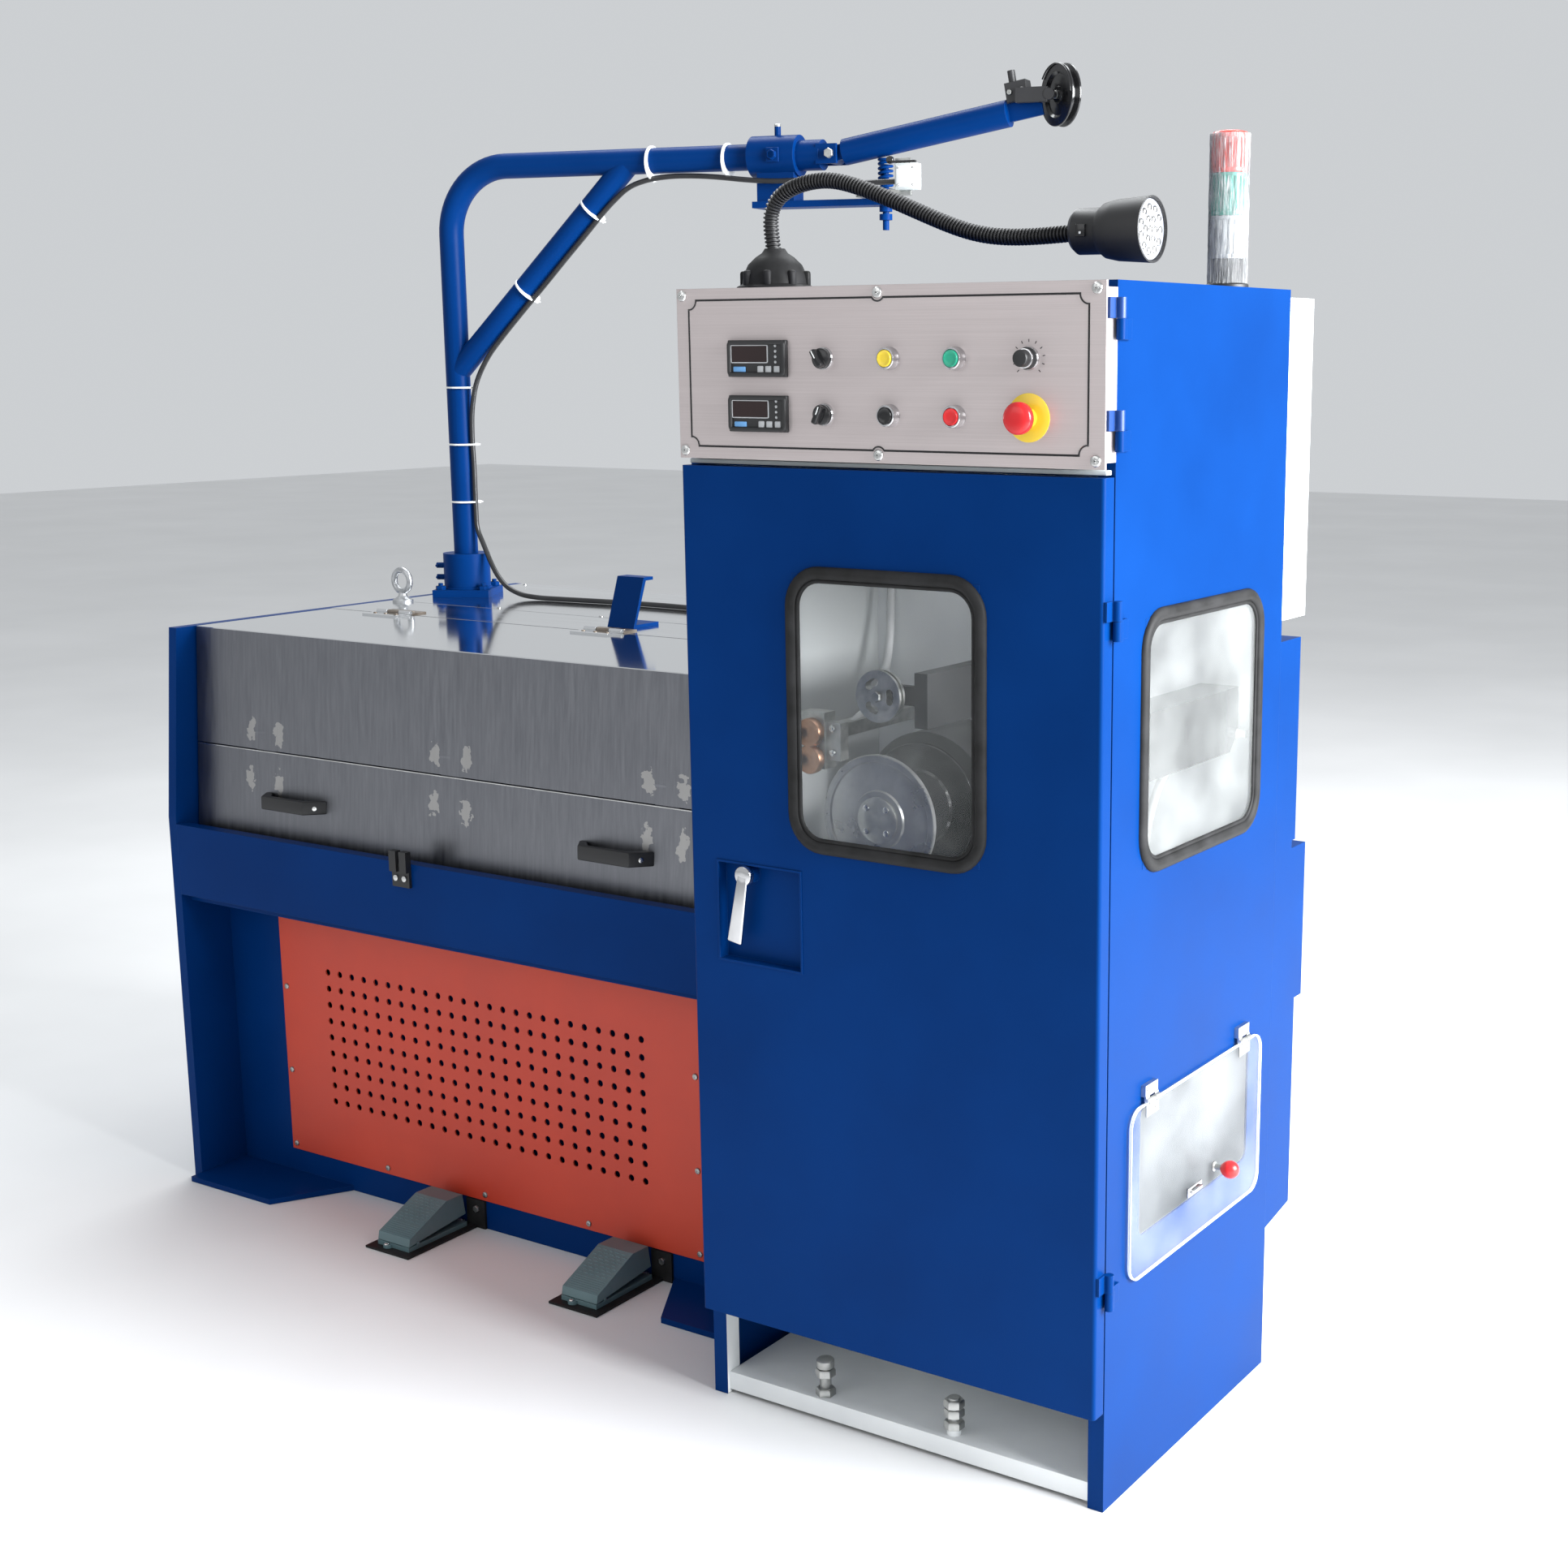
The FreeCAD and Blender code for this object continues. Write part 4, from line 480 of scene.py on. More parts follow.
# Edge tones: the lighter blue and the lighter orange are painted highlight along edges; the grey-green paint's pale
# grey edge is wear and painted highlight.
blue_paint = mottled("Blue paint", BLUE_DARK, BLUE_LIGHT, (0.30, 0.40), coat=0.0, scale=3.0, fine=420.0,
                     bump=0.12, edge_wear_and_highlight=0.4, edge_wear_and_highlight_tone=(0.12, 0.26, 0.62))
blue_paint.node_tree.nodes["Principled BSDF"].inputs["Specular IOR Level"].default_value = 0.04
white_paint = mottled("White paint", (0.66, 0.68, 0.69), WHITE_PAINT, (0.4, 0.55), scale=4.0, fine=300.0, bump=0.15)
grey_paint = mottled("Light grey texture paint", (0.50, 0.54, 0.54), (0.60, 0.64, 0.63), (0.45, 0.6), fine=900.0,
                     bump=0.5)
orange_paint = mottled("Orange paint", (0.50, 0.041, 0.018), (0.60, 0.058, 0.026), (0.42, 0.55), scale=3.5,
                       fine=500.0, bump=0.15, edge_wear_and_highlight=0.4, edge_wear_and_highlight_tone=(0.75, 0.25, 0.15))
black_paint = mottled("Black paint", (0.012, 0.012, 0.013), (0.022, 0.022, 0.024), (0.35, 0.5), bump=0.03, edge_wear_and_highlight=0.0)
teal_paint = mottled("Grey-green hammered paint", (0.085, 0.15, 0.165), (0.13, 0.21, 0.225), (0.32, 0.48), coat=0.15,
                     scale=9.0, fine=260.0, bump=0.5, edge_wear_and_highlight=0.6, edge_wear_and_highlight_tone=(0.3, 0.36, 0.37))

# %% Metals
bright_steel = mottled("Bright steel", (0.55, 0.55, 0.54), (0.72, 0.72, 0.71), (0.16, 0.3), metallic=1.0, scale=30.0,
                       bump=0.1, fold=0.0004)
zinc_steel = mottled("Zinc plated steel", (0.36, 0.37, 0.36), (0.56, 0.56, 0.54), (0.3, 0.5), metallic=1.0,
                     scale=60.0, fine=400.0, bump=0.3, fold=0.0005)
chrome = mottled("Chrome", (0.56, 0.56, 0.57), (0.70, 0.70, 0.71), (0.05, 0.12), metallic=1.0, scale=15.0, bump=0.05,
                 fold=0.0004)
bronze_steel = mottled("Heat-tinted steel", (0.16, 0.12, 0.09), (0.34, 0.30, 0.26), (0.28, 0.42), metallic=1.0,
                       scale=40.0, bump=0.2, fold=0.0004)
copper_metal = mottled("Copper", (0.30, 0.15, 0.09), (0.50, 0.29, 0.19), (0.25, 0.45), metallic=1.0, scale=35.0,
                       fold=0.0006)
panel_steel = brushed("Console plate", (0.475, 0.42, 0.415), (0.585, 0.525, 0.52), (0.36, 0.5),
                      (3.0, 400.0, 700.0), 0.10, 0.5)
top_steel = brushed("Mirror-bright sheet", (0.62, 0.63, 0.64), (0.78, 0.79, 0.80), (0.07, 0.16),
                    (2.0, 60.0, 60.0), 0.06)

# %% Plastics, rubber and clear sheet
black_plastic = mottled("Black plastic", (0.010, 0.010, 0.011), (0.018, 0.018, 0.019), (0.4, 0.55), fine=700.0,
                        bump=0.3, fold=0.0006)
gloss_black = mottled("Gloss black plastic", (0.006, 0.006, 0.007), (0.012, 0.012, 0.013), (0.12, 0.22), bump=0.05,
                      fold=0.0005)
black_rubber = mottled("Black rubber", (0.012, 0.012, 0.012), (0.026, 0.026, 0.027), (0.42, 0.62), scale=25.0,
                       bump=0.35, fold=0.0)
yellow_plastic = mottled("Yellow plastic", (0.70, 0.50, 0.03), (0.80, 0.60, 0.05), (0.2, 0.32), bump=0.05, fold=0.0)
green_plastic = mottled("Green plastic", (0.01, 0.26, 0.16), (0.02, 0.34, 0.21), (0.2, 0.32), bump=0.05, fold=0.0)
red_plastic = mottled("Red plastic", (0.55, 0.012, 0.016), (0.68, 0.02, 0.022), (0.2, 0.34), bump=0.05, fold=0.0)
white_plastic = mottled("White plastic", (0.72, 0.73, 0.72), (0.82, 0.83, 0.82), (0.35, 0.5), bump=0.1, fold=0.0)
hose_grey = mottled("Grey hose", (0.45, 0.46, 0.46), (0.58, 0.59, 0.59), (0.4, 0.55), scale=12.0, bump=0.2, fold=0.0)
lead_black = mottled("Cable sheath", (0.010, 0.010, 0.011), (0.018, 0.018, 0.020), (0.3, 0.42), scale=20.0, bump=0.2,
                     fold=0.0)


def clear_sheet(name, tint, alpha, cloudy):
    """Clear plastic that is a little scuffed: mostly see-through, whiter where it is scratched."""
    material, tree, shader, relief = shader_base(name, 0.0, 0.0, 0.0, IOR=1.49)
    group = node(tree, "ShaderNodeGroup", node_tree=MOTTLE, Scale=7.0, Fine=60.0)
    shader.inputs["Base Color"].default_value = (*tint, 1)
    tree.links.new(ranged(tree, group.outputs["Cloud"], 0.05, 0.22), shader.inputs["Roughness"])
    tree.links.new(ranged(tree, group.outputs["Cloud"], alpha, cloudy), shader.inputs["Alpha"])
    relief.inputs["Strength"].default_value = 0.08
    tree.links.new(group.outputs["Cloud"], relief.inputs["Height"])
    return material


window_sheet = clear_sheet("Window sheet", (0.80, 0.84, 0.84), 0.012, 0.05)
side_sheet = clear_sheet("Scuffed side window", (0.82, 0.85, 0.84), 0.025, 0.10)
cover_sheet = clear_sheet("Clear cover sheet", (0.86, 0.90, 0.93), 0.03, 0.10)
for quiet, level in ((side_sheet, 0.06), (black_rubber, 0.12)):
    quiet.node_tree.nodes["Principled BSDF"].inputs["Specular IOR Level"].default_value = level
print("finishes", len(bpy.data.materials))

# %% [markdown]
# ## Two finishes that know where they are
# The cabinet is blue outside and pale inside, as sprayed sheet often is, so its paint asks the
# Object coordinates which side it is on. The lid's front keeps pale spots where the hinges
# behind it were spot-welded and ground flat; its dark tone is painted shade, and only the top
# keeps the bright steel colour.

# %% Cabinet paint, white inside
def corners(name):
    """Lowest and highest corner of a construction node."""
    low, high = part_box(name)
    return Vector(low), Vector(high)


CAB_LOW, CAB_HIGH = corners("cabinet_shell")
SHEET = 0.004
CHAMBER_GREY = (0.54, 0.56, 0.56)


def inside_mask(tree, low, high):
    """1 where the surface lies between two corners."""
    place = node(tree, "ShaderNodeTexCoord").outputs["Object"]
    split = node(tree, "ShaderNodeSeparateXYZ")
    tree.links.new(place, split.inputs[0])
    mask = None
    for axis in range(3):
        for operation, limit in (("GREATER_THAN", low[axis]), ("LESS_THAN", high[axis])):
            test = math_node(tree, operation, split.outputs[axis], float(limit))
            mask = test if mask is None else math_node(tree, "MULTIPLY", mask, test)
    return mask


def cabinet_paint():
    """Blue paint that turns pale grey inside the chamber and white in the foot space."""
    material = blue_paint.copy()
    material.name = "Cabinet paint, white inside"
    tree = material.node_tree
    shader = tree.nodes["Principled BSDF"]
    blue = shader.inputs["Base Color"].links[0].from_socket
    chamber = inside_mask(tree, CAB_LOW + Vector((SHEET * 0.9, 0.006, 0.16)),
                          CAB_HIGH - Vector((SHEET * 0.9, SHEET * 0.9, 0.233)))
    foot = inside_mask(tree, CAB_LOW + Vector((0.0235, 0.0005, -0.01)), Vector((CAB_HIGH.x - 0.0235, 0.1, 0.163)))
    within = mixed(tree, chamber, blue, CHAMBER_GREY)
    tree.links.new(mixed(tree, foot, within, WHITE_PAINT), shader.inputs["Base Color"])
    return material


shell_paint = cabinet_paint()

# %% Ground steel with pale weld spots
LID_LOW, LID_HIGH = corners("lid_upper")
FLAP_LOW, FLAP_HIGH = corners("lid_flap")
FOLD_SHARES = (0.1355, 0.4764, 0.8235)


def ground_steel_with_painted_shade():
    """Belt-ground sheet, its lines upright, with pairs of pale spots above and below the fold. Its dark tone is
    painted shade on the leaning front.
    """
    # The dark grey here is painted shade on the leaning sheet; the upright grain is the belt's.
    material = brushed("Belt-ground sheet, painted shade", (0.19, 0.195, 0.215), (0.26, 0.265, 0.285), (0.28, 0.40),
                       (150.0, 150.0, 1.2), 0.06)
    tree = material.node_tree
    shader = tree.nodes["Principled BSDF"]
    steel = shader.inputs["Base Color"].links[0].from_socket
    place = node(tree, "ShaderNodeTexCoord").outputs["Object"]
    rough_edge = node(tree, "ShaderNodeTexNoise", Scale=90.0, Detail=3.0)
    tree.links.new(place, rough_edge.inputs["Vector"])
    wobble = ranged(tree, rough_edge.outputs["Fac"], -0.009, 0.009, 0.2, 0.8)
    flatten = node(tree, "ShaderNodeVectorMath", operation="MULTIPLY")
    flatten.inputs[1].default_value = (1, 0, 0.55)
    tree.links.new(place, flatten.inputs[0])
    mask = None
    long = LID_HIGH.x - LID_LOW.x
    for share in FOLD_SHARES:
        for side, rise in ((-0.036, 0.032), (0.036, 0.028), (-0.038, -0.058), (0.036, -0.062)):
            spot = node(tree, "ShaderNodeVectorMath", operation="DISTANCE")
            tree.links.new(flatten.outputs[0], spot.inputs[0])
            spot.inputs[1].default_value = (LID_LOW.x + share * long + side, 0, (FLAP_HIGH.z + rise) * 0.55)
            away = math_node(tree, "ADD", spot.outputs["Value"], wobble)
            near = math_node(tree, "LESS_THAN", away, 0.011)
            mask = near if mask is None else math_node(tree, "MAXIMUM", mask, near)
    pale = math_node(tree, "MULTIPLY", mask, 0.55)
    tree.links.new(mixed(tree, pale, steel, (0.62, 0.60, 0.57)), shader.inputs["Base Color"])
    return material


ground_and_shaded_lid_steel = ground_steel_with_painted_shade()


def lid_finish():
    """Mirror-bright and pale on top, belt-ground on the leaning front, where the dark tone is painted shade."""
    material = ground_and_shaded_lid_steel.copy()
    material.name = "Lid sheet"
    tree = material.node_tree
    shader = tree.nodes["Principled BSDF"]
    top = inside_mask(tree, (LID_LOW.x - 1, LID_LOW.y - 1, LID_HIGH.z - 0.0095), (LID_HIGH.x + 1, LID_HIGH.y + 1, 2))
    for socket, bright in (("Base Color", (0.70, 0.71, 0.72)), ("Roughness", 0.09)):
        below = shader.inputs[socket].links[0].from_socket
        if socket == "Base Color":
            tree.links.new(mixed(tree, top, below, bright), shader.inputs[socket])
        else:
            mix = node(tree, "ShaderNodeMix", data_type="FLOAT")
            tree.links.new(top, mix.inputs[0])
            tree.links.new(below, mix.inputs[2])
            mix.inputs[3].default_value = bright
            tree.links.new(mix.outputs[0], shader.inputs[socket])
    return material


lid_material = lid_finish()

# %% Console plate with its painted hinge lugs
def console_finish():
    """Brushed plate, but blue paint on the lugs that stand out past its right edge."""
    right_edge = 1.0253
    material = panel_steel.copy()
    material.name = "Console plate and lugs"
    tree = material.node_tree
    shader = tree.nodes["Principled BSDF"]
    lugs = inside_mask(tree, (right_edge, -1, 0), (2, 1, 2))
    plate = shader.inputs["Base Color"].links[0].from_socket
    tree.links.new(mixed(tree, lugs, plate, BLUE_LIGHT), shader.inputs["Base Color"])
    metal = math_node(tree, "SUBTRACT", 0.5, math_node(tree, "MULTIPLY", lugs, 0.5))
    tree.links.new(metal, shader.inputs["Metallic"])
    return material


console_material = console_finish()


def hinge_finish():
    """Heat-tinted steel for the lid's hinges, bright zinc for the leaves on the cabinet's side."""
    material = bronze_steel.copy()
    material.name = "Hinge steel"
    tree = material.node_tree
    shader = tree.nodes["Principled BSDF"]
    side = inside_mask(tree, (1.0, -1, 0), (2, 1, 2))
    dark = shader.inputs["Base Color"].links[0].from_socket
    tree.links.new(mixed(tree, side, dark, (0.58, 0.58, 0.56)), shader.inputs["Base Color"])
    return material


hinge_material = hinge_finish()

# %% [markdown]
# ## Finishes on the construction's own pieces
# Sheet metal, tubes and brackets already have their true shape in the frame, so they only get
# their finish. What looked plain there is replaced by a modelled piece further down.

# %% Finish of each construction node
FINISHES = {
    blue_paint: ["rear_housing", "door_panel", "handle_cup", "cabinet_hinges", "unit_body", "end_plate", "front_beam",
                 "lid_stop", "mast_base", "arm_tube", "arm_head", "dancer_arm", "arm_spring"],
    shell_paint: ["cabinet_shell"],
    white_paint: ["base_pan", "spindle_wall"],
    black_paint: ["chamber_brackets", "wheel_bracket"],
    grey_paint: ["electrical_boxes"],
    orange_paint: ["perforated_panel"],
    teal_paint: ["pedal_trays", "pedal_tread_left", "pedal_tread_right"],
    black_rubber: ["side_window_seal", "door_window_seal", "pedal_mats"],
    black_plastic: ["work_lamp", "selector_upper", "selector_lower", "speed_knob", "lid_catch",
                    "lid_grips", "take_up_spool"],
    gloss_black: ["console_meters", "button_black", "guide_wheel", "traverse_drive"],
    chrome: ["door_lever", "control_rings", "side_cover_fittings"],
    yellow_plastic: ["button_yellow"],
    green_plastic: ["button_green"],
    red_plastic: ["button_red", "stop_button", "signal_tower"],
    console_material: ["console_plate"],
    top_steel: ["deck_sheets"],
    lid_material: ["lid_upper"],
    ground_and_shaded_lid_steel: ["lid_flap"],
    hinge_material: ["bright_hinges"],
    zinc_steel: ["eyebolt", "limit_switch", "die_holder", "guide_roller"],
    lead_black: ["mast_cable", "deck_cable"],
    window_sheet: ["door_window_pane"],
    side_sheet: ["side_window_pane"],
    cover_sheet: ["side_cover"],
}
for material, names in FINISHES.items():
    for name in names:
        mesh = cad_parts[name].data
        mesh.materials.clear()
        mesh.materials.append(material)
print("construction nodes finished", sum(len(names) for names in FINISHES.values()))

# %% [markdown]
# ## Door, windows and handle
# The window seals are soft rubber profiles: a broad rounded bead with a thin lip inside it. Small
# plates close the square corners of each window hole behind the rounder seal.

# %% Window seals
HOLE_INSET, PLATE, PROUD, BEHIND = 0.0110, 0.0110, 0.0004, 0.0010


def seal(low, high, facing, name, body, replaced):
    """A rubber seal round a window, from the corners of its flat construction ring."""
    centre = (low + high) / 2
    size = high - low
    across = size.x if facing == "y" else size.y
    beads = []
    for inset, thick, corner, flat in ((0.0090, 0.0090, 0.046, 0.78), (0.0195, 0.0030, 0.036, 1.0)):
        middle = centre.copy()
        if facing == "y":
            middle.y = high.y
        else:
            middle.x = low.x
        beads.append(frame_loop(middle, across - 2 * inset, size.z - 2 * inset, corner, thick, facing, flat))
    plates = []
    first_side = low.x if facing == "y" else low.y
    for start in (first_side + HOLE_INSET, first_side + across - HOLE_INSET - PLATE):
        for rise in (low.z + HOLE_INSET, high.z - HOLE_INSET - PLATE):
            if facing == "y":
                ends = (start, high.y - PROUD, rise), (start + PLATE, high.y + BEHIND, rise + PLATE)
            else:
                ends = (low.x - BEHIND, start, rise), (low.x + PROUD, start + PLATE, rise + PLATE)
            plates.append(block(*ends, 0.0001, 1))
    finish(joined(plates), name + " corner plates", body, blue_paint)
    piece = joined(beads)
    return finish(piece, name, body, black_rubber, (replaced,), 60)


seal(*corners("door_window_seal"), "y", "Door window seal", "door", "door_window_seal")
seal(*corners("side_window_seal"), "x", "Side window seal", "machine", "side_window_seal")

# %% Gasket strip between the door and the control panel
gasket = block((0.372, -0.4865, 1.3885), (1.020, -0.4725, 1.3945), 0.001)
finish(gasket, "Gasket strip", "console", grey_paint)

# %% Door handle: a disc on the spindle and a tapered blade
HUB = Vector((0.463, -0.5, 0.819))
hub = turned([(0.0150, 0.0), (0.0150, 0.004), (0.0135, 0.0070), (0.0100, 0.0082), (0.0040, 0.0086)],
             HUB, FRONT, 40)
blade = block((-0.0085, -0.0030, -0.100), (0.0085, 0.0030, 0.0), 0.0022, 3)
open_mesh("DESELECT")
close_mesh()
for corner in blade.data.vertices:
    corner.select = corner.co.z < -0.05
bpy.ops.object.mode_set(mode="EDIT")
bpy.ops.transform.resize(value=(1.45, 1, 1), center_override=(0, 0, 0))
close_mesh()
blade.matrix_world = (Matrix.Translation(HUB + Vector((0, -0.0055, 0))) @ Matrix.Rotation(radians(10), 4, "Y"))
lever = joined([hub, blade])
finish(lever, "Door lever", "door_lever", chrome, ("door_lever",), 40)
print("lever", len(lever.data.polygons), "faces")

# %% [markdown]
# ## Control panel
# The plate carries a black border line that steps round its six screws, two meters, and four
# columns of controls. No lettering is copied: the plates are plain.

# %% Border line
PLATE_FRONT = -0.5
LINE = 0.0013


def line_bar(x0, z0, x1, z1):
    """A straight piece of the printed line, barely proud of the plate."""
    return block((min(x0, x1) - LINE, PLATE_FRONT - 0.0004, min(z0, z1) - LINE),
                 (max(x0, x1) + LINE, PLATE_FRONT + 0.0002, max(z0, z1) + LINE), 0.0001, 1)


def notch(x, z, start, end, radius=0.0125):
    """A round step of the line about a screw, between two angles in degrees."""
    points = []
    for step in range(9):
        angle = radians(start + (end - start) * step / 8)
        points.append((x + radius * cos(angle), PLATE_FRONT - 0.0001, z + radius * sin(angle)))
    return swept(points, LINE * 0.9, order=3, resolution=2, sides=1)


LEFT_X, RIGHT_X, TOP_Z, LOW_Z = 0.3765, 1.0125, 1.6115, 1.4065
INSET, DROP, STEP, ROUND = 0.0110, 0.0060, 0.0125, 0.0108
x0, x1, z0, z1 = LEFT_X + INSET, RIGHT_X - INSET, LOW_Z + DROP, TOP_Z - DROP
middle = 0.6945
gap = (ROUND ** 2 - DROP ** 2) ** 0.5
border = [line_bar(x0 + STEP, z1, middle - gap, z1), line_bar(middle + gap, z1, x1 - STEP, z1),
          line_bar(x0 + STEP, z0, middle - gap, z0), line_bar(middle + gap, z0, x1 - STEP, z0),
          line_bar(x0, z0 + STEP, x0, z1 - STEP), line_bar(x1, z0 + STEP, x1, z1 - STEP),
          notch(middle, TOP_Z, 213, 327, ROUND), notch(middle, LOW_Z, 147, 33, ROUND),
          notch(x0, z1, 270, 360), notch(x1, z1, 180, 270), notch(x0, z0, 0, 90), notch(x1, z0, 90, 180)]
finish(joined(border), "Border line", "console", gloss_black)

# %% Panel screws
panel_screws = [((x, PLATE_FRONT, z), FRONT) for z in (TOP_Z, LOW_Z) for x in (LEFT_X, middle, RIGHT_X)]
screws = copies(pan_screw(0.0074, 0.0036), panel_screws)
finish(screws, "Panel screws", "console", bright_steel)

# %% Meters: a bezel, a framed dark window, keys and small lamps
low, high = corners("console_meters")
cases, frames, displays, grey_keys, blue_keys = [], [], [], [], []
for base in (high.z - 0.048, low.z):
    face = low.y
    cases.append(block((low.x, face + 0.0045, base), (high.x, face + 0.012, base + 0.048), 0.0015, 3))
    cases.append(frame_loop((low.x + 0.048, face + 0.0042, base + 0.024), 0.0895, 0.0415, 0.004, 0.0032, "y"))
    frames.append(frame_loop((low.x + 0.0365, face + 0.0042, base + 0.0300), 0.0600, 0.0225, 0.0015, 0.0008, "y"))
    displays.append(block((low.x + 0.007, face + 0.0037, base + 0.019), (low.x + 0.066, face + 0.006, base + 0.041),
                          0.0006, 1))
    blue_keys.append(block((low.x + 0.010, face + 0.0032, base + 0.0065), (low.x + 0.030, face + 0.006, base + 0.0135),
                           0.0010, 2))
    for start in (0.050, 0.063, 0.077):
        grey_keys.append(block((low.x + start, face + 0.0032, base + 0.0055),
                               (low.x + start + 0.0095, face + 0.006, base + 0.0145), 0.0012, 2))
    for rise in (0.0195, 0.0265, 0.0335, 0.0405):
        grey_keys.append(rod((low.x + 0.0795, face + 0.0055, base + rise), FRONT, 0.0019, 0.0022, sides=12))
finish(joined(cases), "Meter cases", "console", black_plastic, ("console_meters",), 40)
key_grey = mottled("Key grey", (0.36, 0.37, 0.38), (0.46, 0.47, 0.48), (0.35, 0.5), bump=0.1, fold=0.0)
finish(joined(frames), "Meter frames", "console", key_grey)
window_dark = mottled("Dark display", (0.010, 0.004, 0.004), (0.022, 0.008, 0.008), (0.08, 0.14), bump=0.02, fold=0.0)
finish(joined(displays), "Meter displays", "console", window_dark)
finish(joined(grey_keys), "Meter keys", "console", key_grey)
key_blue = mottled("Key blue", (0.10, 0.28, 0.55), (0.14, 0.35, 0.66), (0.3, 0.4), bump=0.05, fold=0.0)
finish(joined(blue_keys), "Meter key plates", "console", key_blue)

# %% Chrome barrels round the controls
COLUMNS, ROWS = (0.610, 0.713, 0.8125, 0.918), (1.529, 1.457)
barrel = turned([(0.0148, 0), (0.0148, 0.0018), (0.0140, 0.0030), (0.0136, 0.0122), (0.0128, 0.0130),
                 (0.0116, 0.0130), (0.0113, 0.0120), (0.0113, 0.0040)], sides=48)
barrel_places = [((x, PLATE_FRONT, z), FRONT) for x in COLUMNS[1:3] for z in ROWS]
collar = turned([(0.0148, 0), (0.0148, 0.0020), (0.0140, 0.0030), (0.0138, 0.0036)], sides=48)
collar_places = [((COLUMNS[0], PLATE_FRONT, ROWS[0]), FRONT), ((COLUMNS[0], PLATE_FRONT, ROWS[1]), FRONT),
                 ((COLUMNS[3], PLATE_FRONT, ROWS[0]), FRONT)]
rings = joined([copies(barrel, barrel_places), copies(collar, collar_places)])
finish(rings, "Control barrels", "console", chrome, ("control_rings",), 40)
stop_reach = PLATE_FRONT - corners("stop_button")[0].y
sleeve_top = stop_reach - 0.0220
disc = turned([(0.0300, 0), (0.0300, 0.0010), (0.0292, 0.0014), (0.0126, 0.0014), (0.0126, sleeve_top),
               (0.0110, sleeve_top), (0.0110, 0.0016)], (COLUMNS[3], PLATE_FRONT, ROWS[1]), FRONT, 56)
print("stop button stands out", round(stop_reach, 4), "its sleeve", round(sleeve_top, 4))
finish(disc, "Emergency disc", "console", yellow_plastic)

# %% Push buttons: thin caps inside their barrels
BUTTONS = (("yellow", "yellow_button", COLUMNS[1], ROWS[0], yellow_plastic),
           ("black", "black_button", COLUMNS[1], ROWS[1], gloss_black),
           ("green", "green_button", COLUMNS[2], ROWS[0], green_plastic),
           ("red", "red_button", COLUMNS[2], ROWS[1], red_plastic))
for colour, body, x, z, material in BUTTONS:
    top = turned([(0.0100, 0.0094), (0.0106, 0.0098), (0.0106, 0.0140), (0.0101, 0.0148), (0.0090, 0.0150),
                  (0.0084, 0.0146), (0.0040, 0.0144)], (x, PLATE_FRONT, z), FRONT, 44)
    finish(top, f"{colour.capitalize()} push button", body, material, (f"button_{colour}",), 40)

# %% Selectors, speed knob and stop button
for label, z, lean in (("upper", ROWS[0], -32), ("lower", ROWS[1], 24)):
    low, high = corners(f"selector_{label}")
    reach = PLATE_FRONT - low.y
    boss = turned([(0.0128, 0.0040), (0.0132, 0.0046), (0.0132, 0.0090), (0.0120, 0.0100)], sides=36)
    boss = aim(boss, (0, 0, 0), FRONT)
    grip = block((-0.0040, -reach, -0.0125), (0.0040, -0.0090, 0.0125), 0.0020, 3)
    line = block((-0.0008, -reach - 0.0002, 0.0005), (0.0008, -reach + 0.001, 0.0112), 0.0001, 1)
    for piece, name, material, replaced in (
            (joined([boss, grip]), f"{label.capitalize()} selector", gloss_black, (f"selector_{label}",)),
            (line, f"{label.capitalize()} selector mark", white_plastic, ())):
        piece.matrix_world = (Matrix.Translation((COLUMNS[0], PLATE_FRONT, z))
                              @ Matrix.Rotation(radians(lean), 4, "Y"))
        finish(piece, name, f"{label}_selector", material, replaced, 40)

low, high = corners("speed_knob")
knob_deep = PLATE_FRONT - low.y
knob = turned([(0.0136, 0.001), (0.0136, 0.006), (0.0112, 0.0075), (0.0104, knob_deep - 0.002),
               (0.0094, knob_deep - 0.0004), (0.0075, knob_deep)], (COLUMNS[3], PLATE_FRONT, ROWS[0]), FRONT, 28)
finish(knob, "Speed knob", "knob", black_plastic, ("speed_knob",), 20)
band = turned([(0.0113, 0.0108), (0.0122, 0.0112), (0.0122, 0.0128), (0.0113, 0.0132)],
              (COLUMNS[3], PLATE_FRONT, ROWS[0]), FRONT, 36)
finish(band, "Speed knob band", "knob", chrome, smooth=40)
ticks = []
for step in range(11):
    angle = radians(-135 + 27 * step)
    radius = 0.0215
    tick = block((-0.0005, PLATE_FRONT - 0.0003, -0.0018), (0.0005, PLATE_FRONT + 0.0002, 0.0018), 0.0001, 1)
    tick.matrix_world = (Matrix.Translation((COLUMNS[3] + radius * sin(angle), 0, ROWS[0] + radius * cos(angle)))
                         @ Matrix.Rotation(angle, 4, "Y"))
    ticks.append(tick)
finish(joined(ticks), "Speed scale", "console", gloss_black)

below_face = ((0.0105, 0.0160), (0.0185, 0.0145), (0.0200, 0.0125), (0.0200, 0.0060), (0.0185, 0.0030),
              (0.0135, 0.0008), (0.0060, 0.0))
head = turned([(0.0105, sleeve_top - 0.0008), *((radius, stop_reach - down) for radius, down in below_face)],
              (COLUMNS[3], PLATE_FRONT, ROWS[1]), FRONT, 48)
finish(head, "Stop button head", "stop", red_plastic, ("stop_button",), 50)

# %% [markdown]
# ## On top and at the side of the cabinet
# The signal tower's tiers are ribbed all round, and still wear the clear wrap they came in.
# The work lamp stands on a lobed rubber foot, with a ribbed bendy neck.

